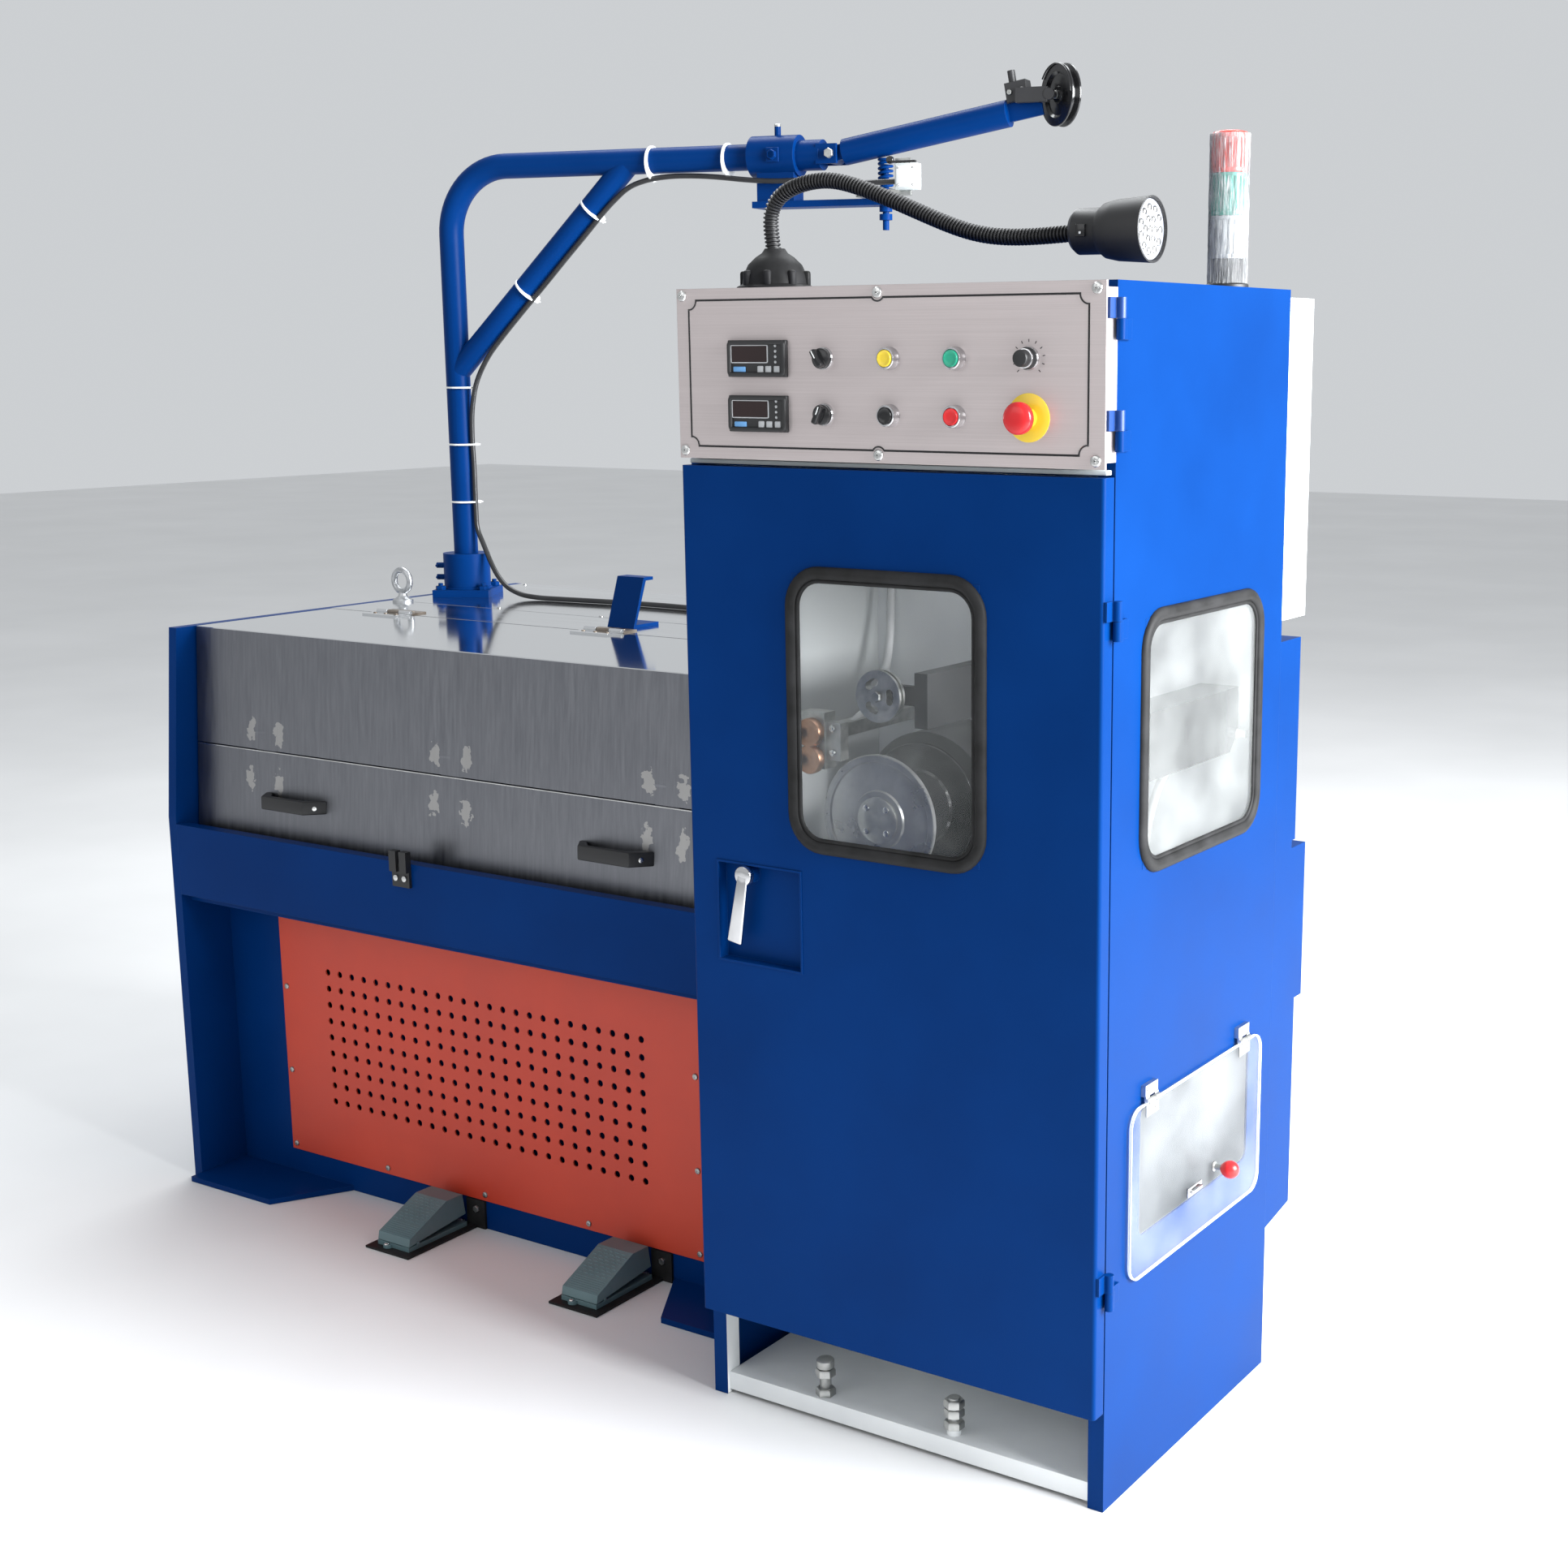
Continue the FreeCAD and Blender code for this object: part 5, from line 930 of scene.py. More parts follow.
# %% Signal tower
TOWER_LOW, TOWER_HIGH = corners("signal_tower")
TOWER = Vector(((TOWER_LOW.x + TOWER_HIGH.x) / 2, (TOWER_LOW.y + TOWER_HIGH.y) / 2, TOWER_LOW.z))


def ribbed_tier(start, end, ribs=18, radius=0.0248):
    """A lens with a ring of upright ribs between two smooth rims."""
    parts = [turned([(radius - 0.002, start), (radius - 0.002, end)], TOWER, UP, 48),
             turned([(radius, start), (radius + 0.0007, start + 0.002), (radius, start + 0.006)], TOWER, UP, 48),
             turned([(radius, end - 0.005), (radius + 0.0004, end - 0.002), (radius - 0.0005, end)], TOWER, UP, 48)]
    rib = turned([(0.0028, start + 0.006), (0.0028, end - 0.005)], sides=8)
    places = []
    for number in range(ribs):
        angle = 2 * pi * number / ribs
        places.append(((TOWER.x + (radius - 0.0022) * cos(angle), TOWER.y + (radius - 0.0022) * sin(angle), TOWER.z),
                       UP))
    return joined([*parts, copies(rib, places)])


def lens_plastic(name, colour, glow=0.0):
    """Coloured lens: saturated, glossy, and a little bright from inside."""
    material = mottled(name, tuple(0.7 * tone for tone in colour), colour, (0.12, 0.25), bump=0.05, fold=0.0)
    shader = material.node_tree.nodes["Principled BSDF"]
    shader.inputs["Emission Color"].default_value = (*colour, 1)
    shader.inputs["Emission Strength"].default_value = glow
    return material


red_lens = lens_plastic("Red lens", (0.72, 0.03, 0.015), 0.10)
green_lens = lens_plastic("Green lens", (0.02, 0.34, 0.26), 0.05)
pale_lens = lens_plastic("Pale lens", (0.55, 0.58, 0.60), 0.05)
top = TOWER_HIGH.z - TOWER.z
finish(ribbed_tier(0.041, 0.0980), "Pale tier", "machine", pale_lens, ("signal_tower",), 40)
finish(ribbed_tier(0.0985, 0.1555), "Green tier", "machine", green_lens)
finish(ribbed_tier(0.1560, top - 0.006), "Red tier", "machine", red_lens)
cap = turned([(0.0250, top - 0.006), (0.0235, top - 0.003), (0.0150, top - 0.0008), (0.0050, top)], TOWER, UP, 48)
finish(cap, "Tower cap", "machine", red_lens, smooth=50)
tower_foot = turned([(0.0298, 0), (0.0298, 0.006), (0.0270, 0.008), (0.0215, 0.009), (0.0215, 0.041)], TOWER, UP, 48)
finish(tower_foot, "Tower foot", "machine", black_plastic)

# %% Crinkled wrap round the tower
bpy.ops.object.select_all(action="DESELECT")
bpy.ops.mesh.primitive_cylinder_add(vertices=64, radius=0.0272, depth=top - 0.010, end_fill_type="NOTHING",
                                    location=(0, 0, 0))
wrap = bpy.context.object
open_mesh()
bpy.ops.mesh.subdivide(number_cuts=14)
bpy.ops.transform.vertex_random(offset=0.0016, seed=4)
close_mesh()
wrap.matrix_world = Matrix.Translation((TOWER.x, TOWER.y, TOWER.z + top / 2))
wrap_sheet = clear_sheet("Crinkled wrap", (0.92, 0.94, 0.95), 0.02, 0.16)
finish(wrap, "Tower wrap", "machine", wrap_sheet, smooth=80)

# %% Work lamp: foot and ribbed neck
LAMP = Vector((0.429, -0.360, corners("work_lamp")[0].z))
foot = turned([(0.0535, 0), (0.0535, 0.004), (0.0460, 0.008), (0.0440, 0.020), (0.0375, 0.034), (0.0270, 0.044),
               (0.0180, 0.050), (0.0140, 0.056)], LAMP, UP, 56)
lobes = []
for number in range(8):
    angle = radians(22.5 + 45 * number)
    lobe = block((0.026, -0.0055, 0.003), (0.050, 0.0055, 0.026), 0.004, 3)
    lobe.matrix_world = Matrix.Translation(LAMP) @ Matrix.Rotation(angle, 4, "Z")
    lobes.append(lobe)
lamp_foot = joined([foot, *lobes])
finish(lamp_foot, "Lamp foot", "machine", black_rubber, ("work_lamp",), 40)

NECK = [(0.429, 1.662), (0.425, 1.690), (0.420, 1.718), (0.431, 1.744), (0.462, 1.7600), (0.500, 1.7662),
        (0.536, 1.7655), (0.590, 1.7490), (0.650, 1.7260), (0.705, 1.7040), (0.752, 1.6885), (0.800, 1.6815),
        (0.850, 1.6815), (0.906, 1.6848)]
core = swept([(x, LAMP.y, z) for x, z in NECK], 0.0084, order=4, resolution=6, sides=4)
finish(core, "Lamp neck core", "machine", black_plastic, smooth=60)

# %% Rings of the neck
def spaced(points, gap):
    """Places at an even spacing along straight runs, with their directions."""
    found, left = [], 0.0
    for first, second in zip(points, points[1:]):
        first, second = Vector(first), Vector(second)
        run = second - first
        while left < run.length:
            found.append((tuple(first + run.normalized() * left), tuple(run.normalized())))
            left += gap
        left -= run.length
    return found


centre_line = swept([(x, LAMP.y, z) for x, z in NECK], 0.0, order=4, resolution=8, sides=0)
line_points = [tuple(vertex.co) for vertex in centre_line.data.vertices]
bpy.data.objects.remove(centre_line, do_unlink=True)
rib_pattern = turned([(0.0086, -0.0019), (0.0108, -0.0009), (0.0108, 0.0009), (0.0086, 0.0019)], sides=24)
ribs = copies(rib_pattern, spaced(line_points, 0.0052))
finish(ribs, "Lamp neck ribs", "machine", black_plastic, smooth=40)
print("neck ribs", len(ribs.data.polygons), "faces")

# %% Lamp head, lens and switch
AXIS_Z = 1.6860
head_place = (0.905, LAMP.y, AXIS_Z)
shell = turned([(0.0150, -0.004), (0.0240, 0.0), (0.0288, 0.006), (0.0290, 0.038), (0.0300, 0.040), (0.0345, 0.046),
                (0.0378, 0.062), (0.0402, 0.098), (0.0410, 0.1085), (0.0392, 0.1092), (0.0378, 0.1040)],
               head_place, RIGHT, 56)
finish(shell, "Lamp head", "machine", black_plastic, smooth=35)
lens = turned([(0.0376, 0), (0.0370, 0.0015)], (0.905 + 0.1035, LAMP.y, AXIS_Z), RIGHT, 48)
lens_glass = mottled("Lamp lens", (0.16, 0.17, 0.20), (0.26, 0.27, 0.31), (0.1, 0.2), scale=40.0, bump=0.1, fold=0.0)
finish(lens, "Lamp lens", "machine", lens_glass)
leds = []
for ring, count in ((0.0, 1), (0.0135, 6), (0.0265, 11)):
    for number in range(count):
        angle = 2 * pi * number / count
        leds.append(((0.905 + 0.1048, LAMP.y + ring * cos(angle), AXIS_Z + ring * sin(angle)), RIGHT))
bulb = turned([(0.0052, 0), (0.0046, 0.0016), (0.0028, 0.0028)], sides=16)
finish(copies(bulb, leds), "Lamp bulbs", "machine", bright_steel, smooth=50)
switch = block((0.920, LAMP.y - 0.0312, AXIS_Z - 0.008), (0.934, LAMP.y - 0.0270, AXIS_Z + 0.008), 0.0010, 2)
finish(switch, "Lamp switch", "machine", gloss_black)
mark = block((0.9255, LAMP.y - 0.0315, AXIS_Z - 0.0045), (0.9285, LAMP.y - 0.0305, AXIS_Z - 0.0015), 0.0003, 1)
finish(mark, "Lamp switch mark", "machine", white_plastic)

# %% Cabinet hinge screws
HINGE_FEET = (1.417, 1.551, 0.298, 1.185)
hinge_screws = [((1.0252, -0.456, foot + rise), RIGHT) for foot in HINGE_FEET for rise in (0.012, 0.038)]
heads = copies(pan_screw(0.0034, 0.0016), hinge_screws)
finish(heads, "Cabinet hinge screws", "machine", bright_steel)

# %% [markdown]
# ## Clear cover over the threading hatch
# Sawn edges of clear sheet are frosted and catch the light, so the cover gets four thin bright
# strips: partly the frosted edge, partly a painted highlight. A red knob on a stem lifts it, and a
# small chrome latch holds it shut.

# %% Clear cover's edges, white from their frosting and a painted highlight
COVER_LOW, COVER_HIGH = corners("side_cover")
edge_white_and_highlight = mottled("Sawn edge and highlight", (0.70, 0.76, 0.79), (0.82, 0.87, 0.90), (0.3, 0.45), bump=0.1, fold=0.0)
middle = (COVER_LOW + COVER_HIGH) / 2
size = COVER_HIGH - COVER_LOW
edges = [frame_loop((x, middle.y, middle.z), size.y - 0.0022, size.z - 0.0022, 0.026, 0.0011, "x")
         for x in (COVER_LOW.x + 0.0012, COVER_HIGH.x - 0.0012)]
finish(joined(edges), "Cover edges and highlight", "side_cover", edge_white_and_highlight)

# %% What the cover carries: hinge leaves, red knob on its stem, latch
out_x = COVER_HIGH.x
leaf_parts, leaf_screws = [], []
for y in (COVER_LOW.y + 0.038, COVER_LOW.y + 0.332):
    leaf_parts.append(block((out_x + 0.0001, y, 0.5335), (out_x + 0.0021, y + 0.036, 0.5500), 0.0005, 2))
    leaf_parts.append(block((out_x + 0.0001, y + 0.0108, 0.5490), (out_x + 0.0021, y + 0.0252, 0.5545), 0.0004, 1))
    leaf_parts.append(rod((out_x + 0.001, y + 0.0103, 0.556), BACK, 0.0032, 0.0154, sides=20))
    leaf_screws += [((out_x + 0.0021, y + across, 0.5412), RIGHT) for across in (0.007, 0.029)]
knob_y, knob_z = COVER_LOW.y + 0.256, COVER_LOW.z + 0.086
stem = turned([(0.0075, 0), (0.0075, 0.002), (0.0042, 0.003), (0.0042, 0.0165)], (out_x, knob_y, knob_z), RIGHT, 28)
finish(joined([*leaf_parts, stem]), "Cover leaves", "side_cover", zinc_steel, ("side_cover_fittings",), 40)
fasteners(pan_screw(0.0036, 0.0016), leaf_screws, "Cover leaf screws", "side_cover")
fixed_screws = [((out_x, COVER_LOW.y + start + across, 0.5695), RIGHT) for start in (0.038, 0.332)
                for across in (0.007, 0.029)]
fasteners(pan_screw(0.0036, 0.0016), fixed_screws, "Hatch hinge screws", "machine")
ball = turned([(0.0060, 0.0), (0.0098, 0.0040), (0.0122, 0.0085), (0.0130, 0.0130), (0.0122, 0.0175),
               (0.0098, 0.0218), (0.0060, 0.0250), (0.0020, 0.0260)], (out_x + 0.013, knob_y, knob_z), RIGHT, 40)
finish(ball, "Cover knob", "side_cover", red_plastic, smooth=60)
latch_y, latch_z = COVER_LOW.y + 0.168, COVER_LOW.z + 0.068
latch = [block((out_x, latch_y, latch_z), (out_x + 0.0035, latch_y + 0.044, latch_z + 0.014), 0.0010, 2),
         block((out_x + 0.0035, latch_y + 0.006, latch_z + 0.004), (out_x + 0.0078, latch_y + 0.038, latch_z + 0.010),
               0.0016, 3)]
finish(joined(latch), "Cover latch", "side_cover", chrome, smooth=40)

# %% [markdown]
# ## Drawing unit
# Small fittings carry the scale here: screws along the perforated panel, pan heads in the
# stainless sheets, a galvanised eyebolt, and two bow handles with a screw in their slanting end.

# %% Screws of the perforated panel
GRILLE_LOW, GRILLE_HIGH = corners("perforated_panel")
margin = 0.012
columns = [GRILLE_LOW.x + margin + (GRILLE_HIGH.x - GRILLE_LOW.x - 2 * margin) * share for share in
           (0, 0.25, 0.5, 0.75, 1)]
spots = [(x, z) for x in columns for z in (GRILLE_LOW.z + margin, GRILLE_HIGH.z - margin)]
spots += [(x, GRILLE_LOW.z + (GRILLE_HIGH.z - GRILLE_LOW.z) * share) for x in (columns[0], columns[-1])
          for share in (0.33, 0.67)]
fasteners(pan_screw(0.0055, 0.0030), [((x, GRILLE_LOW.y, z), FRONT) for x, z in spots],
          "Panel fixing screws", "machine", zinc_steel)

# %% Bright edge along the flap, under the fold: a painted highlight
LID_TOP_FRONT, LID_TOP, FOLD_LINE = -0.240, 1.048, 0.834
fold_front = LID_TOP_FRONT - (LID_TOP - FOLD_LINE) * tan(radians(4))
# This bright strip is a painted highlight along the flap's top edge.
edge = block((FLAP_LOW.x + 0.001, fold_front - 0.0007, 0.8320), (FLAP_HIGH.x - 0.001, fold_front + 0.0012, 0.8338),
             0.0003, 1)
finish(edge, "Flap edge highlight", "lid_flap", bright_steel)

# %% Screws in the stainless sheets and the lid hinges
DECK_LOW, DECK_HIGH = corners("deck_sheets")
deck_top = DECK_HIGH.z
sheet_spots = [(DECK_LOW.x + 0.022 + (DECK_HIGH.x - DECK_LOW.x - 0.044) * share, y)
               for share in (0, 0.2, 0.4, 0.6, 0.8, 1) for y in (0.253, 0.605)]
sheet_spots = [(x, y) for x, y in sheet_spots if not (-1.03 < x < -0.92 and 0.2 < y < 0.27)]
fasteners(pan_screw(0.0045, 0.0020), [((x, y, deck_top), UP) for x, y in sheet_spots], "Deck screws", "machine")
LID_ROW, DECK_ROW = 0.058, 0.102
leaf_columns = [x + aside for x in (-0.824, -0.297) for aside in (-0.028, 0.0, 0.028)]
fasteners(pan_screw(0.0036, 0.0014), [((x, LID_ROW, deck_top + 0.003), UP) for x in leaf_columns],
          "Lid hinge screws", "lid", bronze_steel)
fasteners(pan_screw(0.0036, 0.0014), [((x, DECK_ROW, deck_top + 0.003), UP) for x in leaf_columns],
          "Deck hinge screws", "machine", bronze_steel)

# %% Eyebolt: ring and a neck with a wide round foot
EYE_LOW, EYE_HIGH = corners("eyebolt")
bolt_x, bolt_y = (EYE_LOW.x + EYE_HIGH.x) / 2, (EYE_LOW.y + EYE_HIGH.y) / 2
ring_z, ring_radius, ring_thick = 1.090, 0.0215, 0.0062
bpy.ops.object.select_all(action="DESELECT")
bpy.ops.mesh.primitive_torus_add(major_radius=ring_radius, minor_radius=ring_thick, major_segments=48,
                                 minor_segments=18, location=(0, 0, 0))
ring = bpy.context.object
ring.matrix_world = Matrix.Translation((bolt_x, bolt_y, ring_z)) @ Matrix.Rotation(radians(90), 4, "X")
neck = turned([(0.0205, 0), (0.0205, 0.004), (0.0170, 0.0060), (0.0095, 0.0110), (0.0080, 0.0150), (0.0078, 0.0195)],
              (bolt_x, bolt_y, EYE_LOW.z), UP, 36)
galvanised = mottled("Galvanised steel", (0.40, 0.41, 0.42), (0.62, 0.63, 0.64), (0.28, 0.5), metallic=1.0,
                     scale=90.0, fine=350.0, bump=0.5, fold=0.0)
finish(joined([ring, neck]), "Lifting eyebolt", "machine", galvanised, ("eyebolt",), 50)

# %% Lid handles
GRIP_LOW = corners("lid_grips")[0]
GRIP_CENTRES = (-0.734, 0.016)
outline = [(-0.079, 0.0), (-0.053, -0.034), (0.053, -0.034), (0.079, 0.0), (0.063, 0.0), (0.040, -0.022),
           (-0.040, -0.022), (-0.063, 0.0)]
grips = []
for x in GRIP_CENTRES:
    bpy.ops.object.select_all(action="DESELECT")
    bpy.ops.mesh.primitive_circle_add(vertices=len(outline), radius=0.05, fill_type="NGON", location=(0, 0, 0))
    bow = bpy.context.object
    for vertex, (across, out) in zip(bow.data.vertices, outline):
        vertex.co = (across, out, 0)
    open_mesh()
    bpy.ops.mesh.extrude_region_move(TRANSFORM_OT_translate={"value": (0, 0, 0.024)})
    bpy.ops.mesh.select_all(action="SELECT")
    bpy.ops.mesh.normals_make_consistent(inside=False)
    bpy.ops.mesh.bevel(offset=0.0022, segments=3, affect="EDGES")
    close_mesh()
    bow.matrix_world = (Matrix.Translation((x, GRIP_LOW.y + 0.034, 0.736)) @ Matrix.Rotation(radians(-2), 4, "X"))
    grips.append(applied(bow))
finish(joined(grips), "Lid handles", "lid_flap", black_plastic, ("lid_grips",), 40)
ends = []
for x in GRIP_CENTRES:
    for side in (-1, 1):
        slant = Vector((side * 0.034, -0.026, 0)).normalized()
        ends.append((Vector((x + side * 0.0655, GRIP_LOW.y + 0.0175, 0.748)), slant))
fasteners(cap_screw(0.0042, 0.0018), ends, "Handle screws", "lid_flap")

# %% Catch screws
CATCH_LOW, CATCH_HIGH = corners("lid_catch")
catch_places = [((CATCH_LOW.x + across, CATCH_HIGH.y - 0.006, 0.6625), FRONT) for across in (0.010, 0.030)]
fasteners(cap_screw(0.0052, 0.0030), catch_places, "Catch screws", "machine")

# %% Weld beads where the feet meet the lower panel
def weld_bead(first, second, radius=0.0022):
    """A slightly uneven bead between two points."""
    first, second = Vector(first), Vector(second)
    steps = max(4, int((second - first).length / 0.014))
    points = []
    for number in range(steps + 1):
        wobble = 0.0005 * sin(number * 2.3) + 0.0004 * cos(number * 5.1)
        points.append(tuple(first.lerp(second, number / steps) + Vector((0, -wobble, wobble))))
    return swept(points, radius, order=3, resolution=3, sides=2)


BEAM_LOW, BEAM_HIGH = corners("front_beam")
beads = [weld_bead((BEAM_LOW.x + 0.004, BEAM_LOW.y + 0.002, BEAM_LOW.z + 0.002),
                   (BEAM_LOW.x + 0.004, BEAM_LOW.y + 0.002, BEAM_HIGH.z - 0.002), 0.0018)]
finish(joined(beads), "Beam weld", "machine", blue_paint, smooth=60)

# %% [markdown]
# ## Foot switches
# Each tread has raised dashes on its rear half and a fine knurl on the low front. A bright
# screw stands at either end of its tray.

# %% Raised dashes on the treads
PEDAL_CENTRES = {"left": -0.438, "right": -0.009}
TREAD_LEAN = Matrix.Rotation(radians(24), 4, "X")
TOE_HIGH, HEEL_HIGH = 0.027, 0.067
for side, centre in PEDAL_CENTRES.items():
    low, high = corners(f"pedal_tread_{side}")
    front_y, heel_y = low.y + 0.003, low.y + 0.093
    slope = (HEEL_HIGH - TOE_HIGH) / (heel_y - front_y)
    dashes = []
    for row in range(9):
        for column in range(5):
            across = centre - 0.026 + column * 0.013 + (0.0032 if row % 2 else -0.0032)
            back = front_y + 0.034 + row * 0.0062
            dash = block((-0.0042, -0.0011, -0.0008), (0.0042, 0.0011, 0.0007), 0.0005, 1)
            dash.matrix_world = (Matrix.Translation((across, back, TOE_HIGH + (back - front_y) * slope))
                                 @ TREAD_LEAN)
            dashes.append(dash)
    finish(joined(dashes), f"{side.capitalize()} tread dashes", f"{side}_pedal", teal_paint)
    knurls = []
    for row in range(7):
        back = front_y + 0.003 + row * 0.0040
        bar = block((-0.032, -0.0008, -0.0006), (0.032, 0.0008, 0.0004), 0.0003, 1)
        bar.matrix_world = Matrix.Translation((centre, back, TOE_HIGH + (back - front_y) * slope)) @ TREAD_LEAN
        knurls.append(bar)
    finish(joined(knurls), f"{side.capitalize()} tread knurl", f"{side}_pedal", teal_paint)

# %% Screws of the foot switches and their plates
tray_places, mat_places = [], []
for centre in PEDAL_CENTRES.values():
    tray_places += [((centre - 0.012, -0.3655, 0.010), UP), ((centre + 0.020, -0.2185, 0.010), UP)]
    mat_places.append(((centre + 0.053, -0.211, 0.036), FRONT))
fasteners(pan_screw(0.0050, 0.0026), tray_places, "Tray screws", "machine")
fasteners(hexagon(0.0065, 0.0042), mat_places, "Mat bolts", "machine", zinc_steel)

# %% [markdown]
# ## Overhead arm
# The mast is turned a little from the machine's own directions, so its fittings are placed by
# three numbers: how far out along the arm, how high, and how far to the side.

# %% Places along the arm
ARM_TURN = radians(12.4)
MAST = Vector((-0.944, 0.398, 0))
OUT = Vector((cos(ARM_TURN), sin(ARM_TURN), 0))
SIDE = Vector((-sin(ARM_TURN), cos(ARM_TURN), 0))


def on_arm(out, height, side=0.0):
    """A point in the arm's own directions."""
    return MAST + OUT * out + SIDE * side + Vector((0, 0, height))


DECK = 1.048
base_turn = radians(29.5)
base_places, stud_places = [], []
for a in (-1, 1):
    for b in (-1, 1):
        reach = 0.044
        spot = Vector((a * reach * cos(base_turn) - b * reach * sin(base_turn),
                       a * reach * sin(base_turn) + b * reach * cos(base_turn), DECK + 0.015))
        base_places.append((tuple(MAST + spot), UP))
        stud_places.append((tuple(MAST + spot + Vector((0, 0, 0.0035))), UP))
nuts = copies(hexagon(0.0105, 0.0080), base_places)
studs = copies(rod((0, 0, 0), UP, 0.0048, 0.0100), stud_places)
finish(joined([nuts, studs]), "Mast base nuts", "machine", blue_paint)

# %% Clamp screws with their cross bars
toward = Vector((-cos(base_turn), -sin(base_turn), 0))
handles = []
for rise in (0.022, 0.046):
    start = MAST + toward * 0.046 + Vector((0, 0, DECK + 0.015 + rise))
    handles.append(rod(tuple(start), tuple(toward), 0.0058, 0.017, sides=20))
    cross = Vector((toward.y, -toward.x, 0))
    handles.append(rod(tuple(start + toward * 0.014 - cross * 0.013), tuple(cross), 0.0026, 0.026, sides=14))
finish(joined(handles), "Mast clamp screws", "machine", blue_paint)

# %% Weld ring of the socket
bpy.ops.object.select_all(action="DESELECT")
bpy.ops.mesh.primitive_torus_add(major_radius=0.0475, minor_radius=0.0026, major_segments=56, minor_segments=8,
                                 location=tuple(MAST + Vector((0, 0, DECK + 0.0158))))
finish(bpy.context.object, "Socket weld", "machine", blue_paint, smooth=60)

# %% White ties that hold the cable to the mast and the arm
def tie(centre, along, towards, radius):
    """A flat band round the tube and the cable, with its lock and a cut tail."""
    band = turned([(radius, -0.0017), (radius + 0.0009, -0.0015), (radius + 0.0009, 0.0015), (radius, 0.0017)],
                  sides=40)
    lock = block((radius - 0.001, -0.0028, -0.0024), (radius + 0.0038, 0.0028, 0.0024), 0.0008, 2)
    tail = block((radius + 0.001, 0.0015, -0.0012), (radius + 0.0022, 0.0120, 0.0012), 0.0003, 1)
    whole = joined([band, lock, tail])
    third = along.cross(towards)
    whole.matrix_world = Matrix((
        (towards.x, third.x, along.x, centre.x), (towards.y, third.y, along.y, centre.y),
        (towards.z, third.z, along.z, centre.z), (0, 0, 0, 1)))
    return applied(whole)


UPWARD = Vector((0, 0, 1))
STRUT = (on_arm(0.405, 1.900) - on_arm(0.0, 1.500)).normalized()
BELOW_STRUT = SIDE.cross(STRUT)
ties = []
for height in (1.240, 1.356, 1.470):
    ties.append(tie(on_arm(0.0055, height), UPWARD, OUT, 0.0302))
for out in (0.165, 0.318):
    ties.append(tie(on_arm(out, 1.500 + out * 0.400 / 0.405) + BELOW_STRUT * 0.005, STRUT, BELOW_STRUT, 0.0287))
for out in (0.455, 0.616):
    ties.append(tie(on_arm(out, 1.8955), OUT, -UPWARD, 0.0318))
finish(joined(ties), "Cable ties", "mast", white_plastic, smooth=40)

# %% Collar: set screw, hexagon bolt with a square washer
set_screws = copies(cap_screw(0.0062, 0.0050), [(tuple(on_arm(0.719, 1.9535)), UP)])
washer = block((-0.013, -0.013, 0), (0.013, 0.013, 0.003), 0.0006, 1)
washer = aim(washer, tuple(on_arm(0.725, 1.900, -0.0385)), tuple(-SIDE))
side_bolt = copies(hexagon(0.0095, 0.0065), [(tuple(on_arm(0.725, 1.900, -0.0415)), tuple(-SIDE))])
finish(joined([washer, side_bolt]), "Collar bolt", "mast", blue_paint)
finish(set_screws, "Collar screw", "mast", zinc_steel)
pivot_heads = copies(hexagon(0.0095, 0.0065), [(tuple(on_arm(0.836, 1.900, -0.0305)), tuple(-SIDE)),
                                               (tuple(on_arm(0.836, 1.900, 0.0305)), tuple(SIDE))])
finish(pivot_heads, "Pivot bolt heads", "mast", zinc_steel)

# %% Coil spring, wound round its bolt
SPRING_LOW, SPRING_HIGH = corners("arm_spring")
wire, turns = 0.0027, 9.0
spring_x, spring_y = (SPRING_LOW.x + SPRING_HIGH.x) / 2, (SPRING_LOW.y + SPRING_HIGH.y) / 2
coil_radius = (SPRING_HIGH.x - SPRING_LOW.x) / 2 - wire
start, end = SPRING_LOW.z + wire, SPRING_HIGH.z - wire
helix = []
steps = int(turns * 16)
for number in range(steps + 1):
    share = number / steps
    lift = min(max((share - 0.06) / 0.88, 0), 1)
    angle = 2 * pi * turns * share
    helix.append((spring_x + coil_radius * cos(angle), spring_y + coil_radius * sin(angle),
                  start + (end - start) * lift))
coil = swept(helix, wire, order=3, resolution=2, sides=3)
finish(coil, "Coil spring", "mast", blue_paint, ("arm_spring",), 60)

# %% Limit switch: alloy body, white lid, black lever with a roller
SWITCH = Matrix.Translation(MAST) @ Matrix.Rotation(ARM_TURN, 4, "Z")


def at_switch(piece):
    """Turns a piece from the arm's directions into the machine's."""
    piece.matrix_world = SWITCH @ piece.matrix_world
    return applied(piece)


low_z = 1.827
case = at_switch(block((0.9865, -0.0840, low_z), (1.0295, -0.0605, low_z + 0.046), 0.0016, 3))
finish(case, "Switch case", "mast", grey_paint)
plate = at_switch(block((0.9005, -0.0602, 1.8172), (1.0095, -0.0553, 1.8300), 0.0008, 2))
bridge = at_switch(block((0.9005, -0.0602, 1.8172), (0.9235, -0.0265, 1.8208), 0.0006, 1))
leg = at_switch(block((0.9780, -0.0602, 1.8290), (1.0095, -0.0553, 1.8845), 0.0008, 2))
finish(joined([plate, bridge, leg]), "Switch bracket", "mast", zinc_steel, ("limit_switch",))
face = at_switch(block((0.9900, -0.0852, low_z + 0.004), (1.0260, -0.0835, low_z + 0.042), 0.0006, 2))
finish(face, "Switch lid", "mast", white_plastic)
arm_bar = at_switch(block((0.9700, -0.0780, 1.8745), (1.0240, -0.0700, 1.8785), 0.0008, 2))
roller = turned([(0.0060, -0.004), (0.0070, -0.003), (0.0070, 0.003), (0.0060, 0.004)], sides=24)
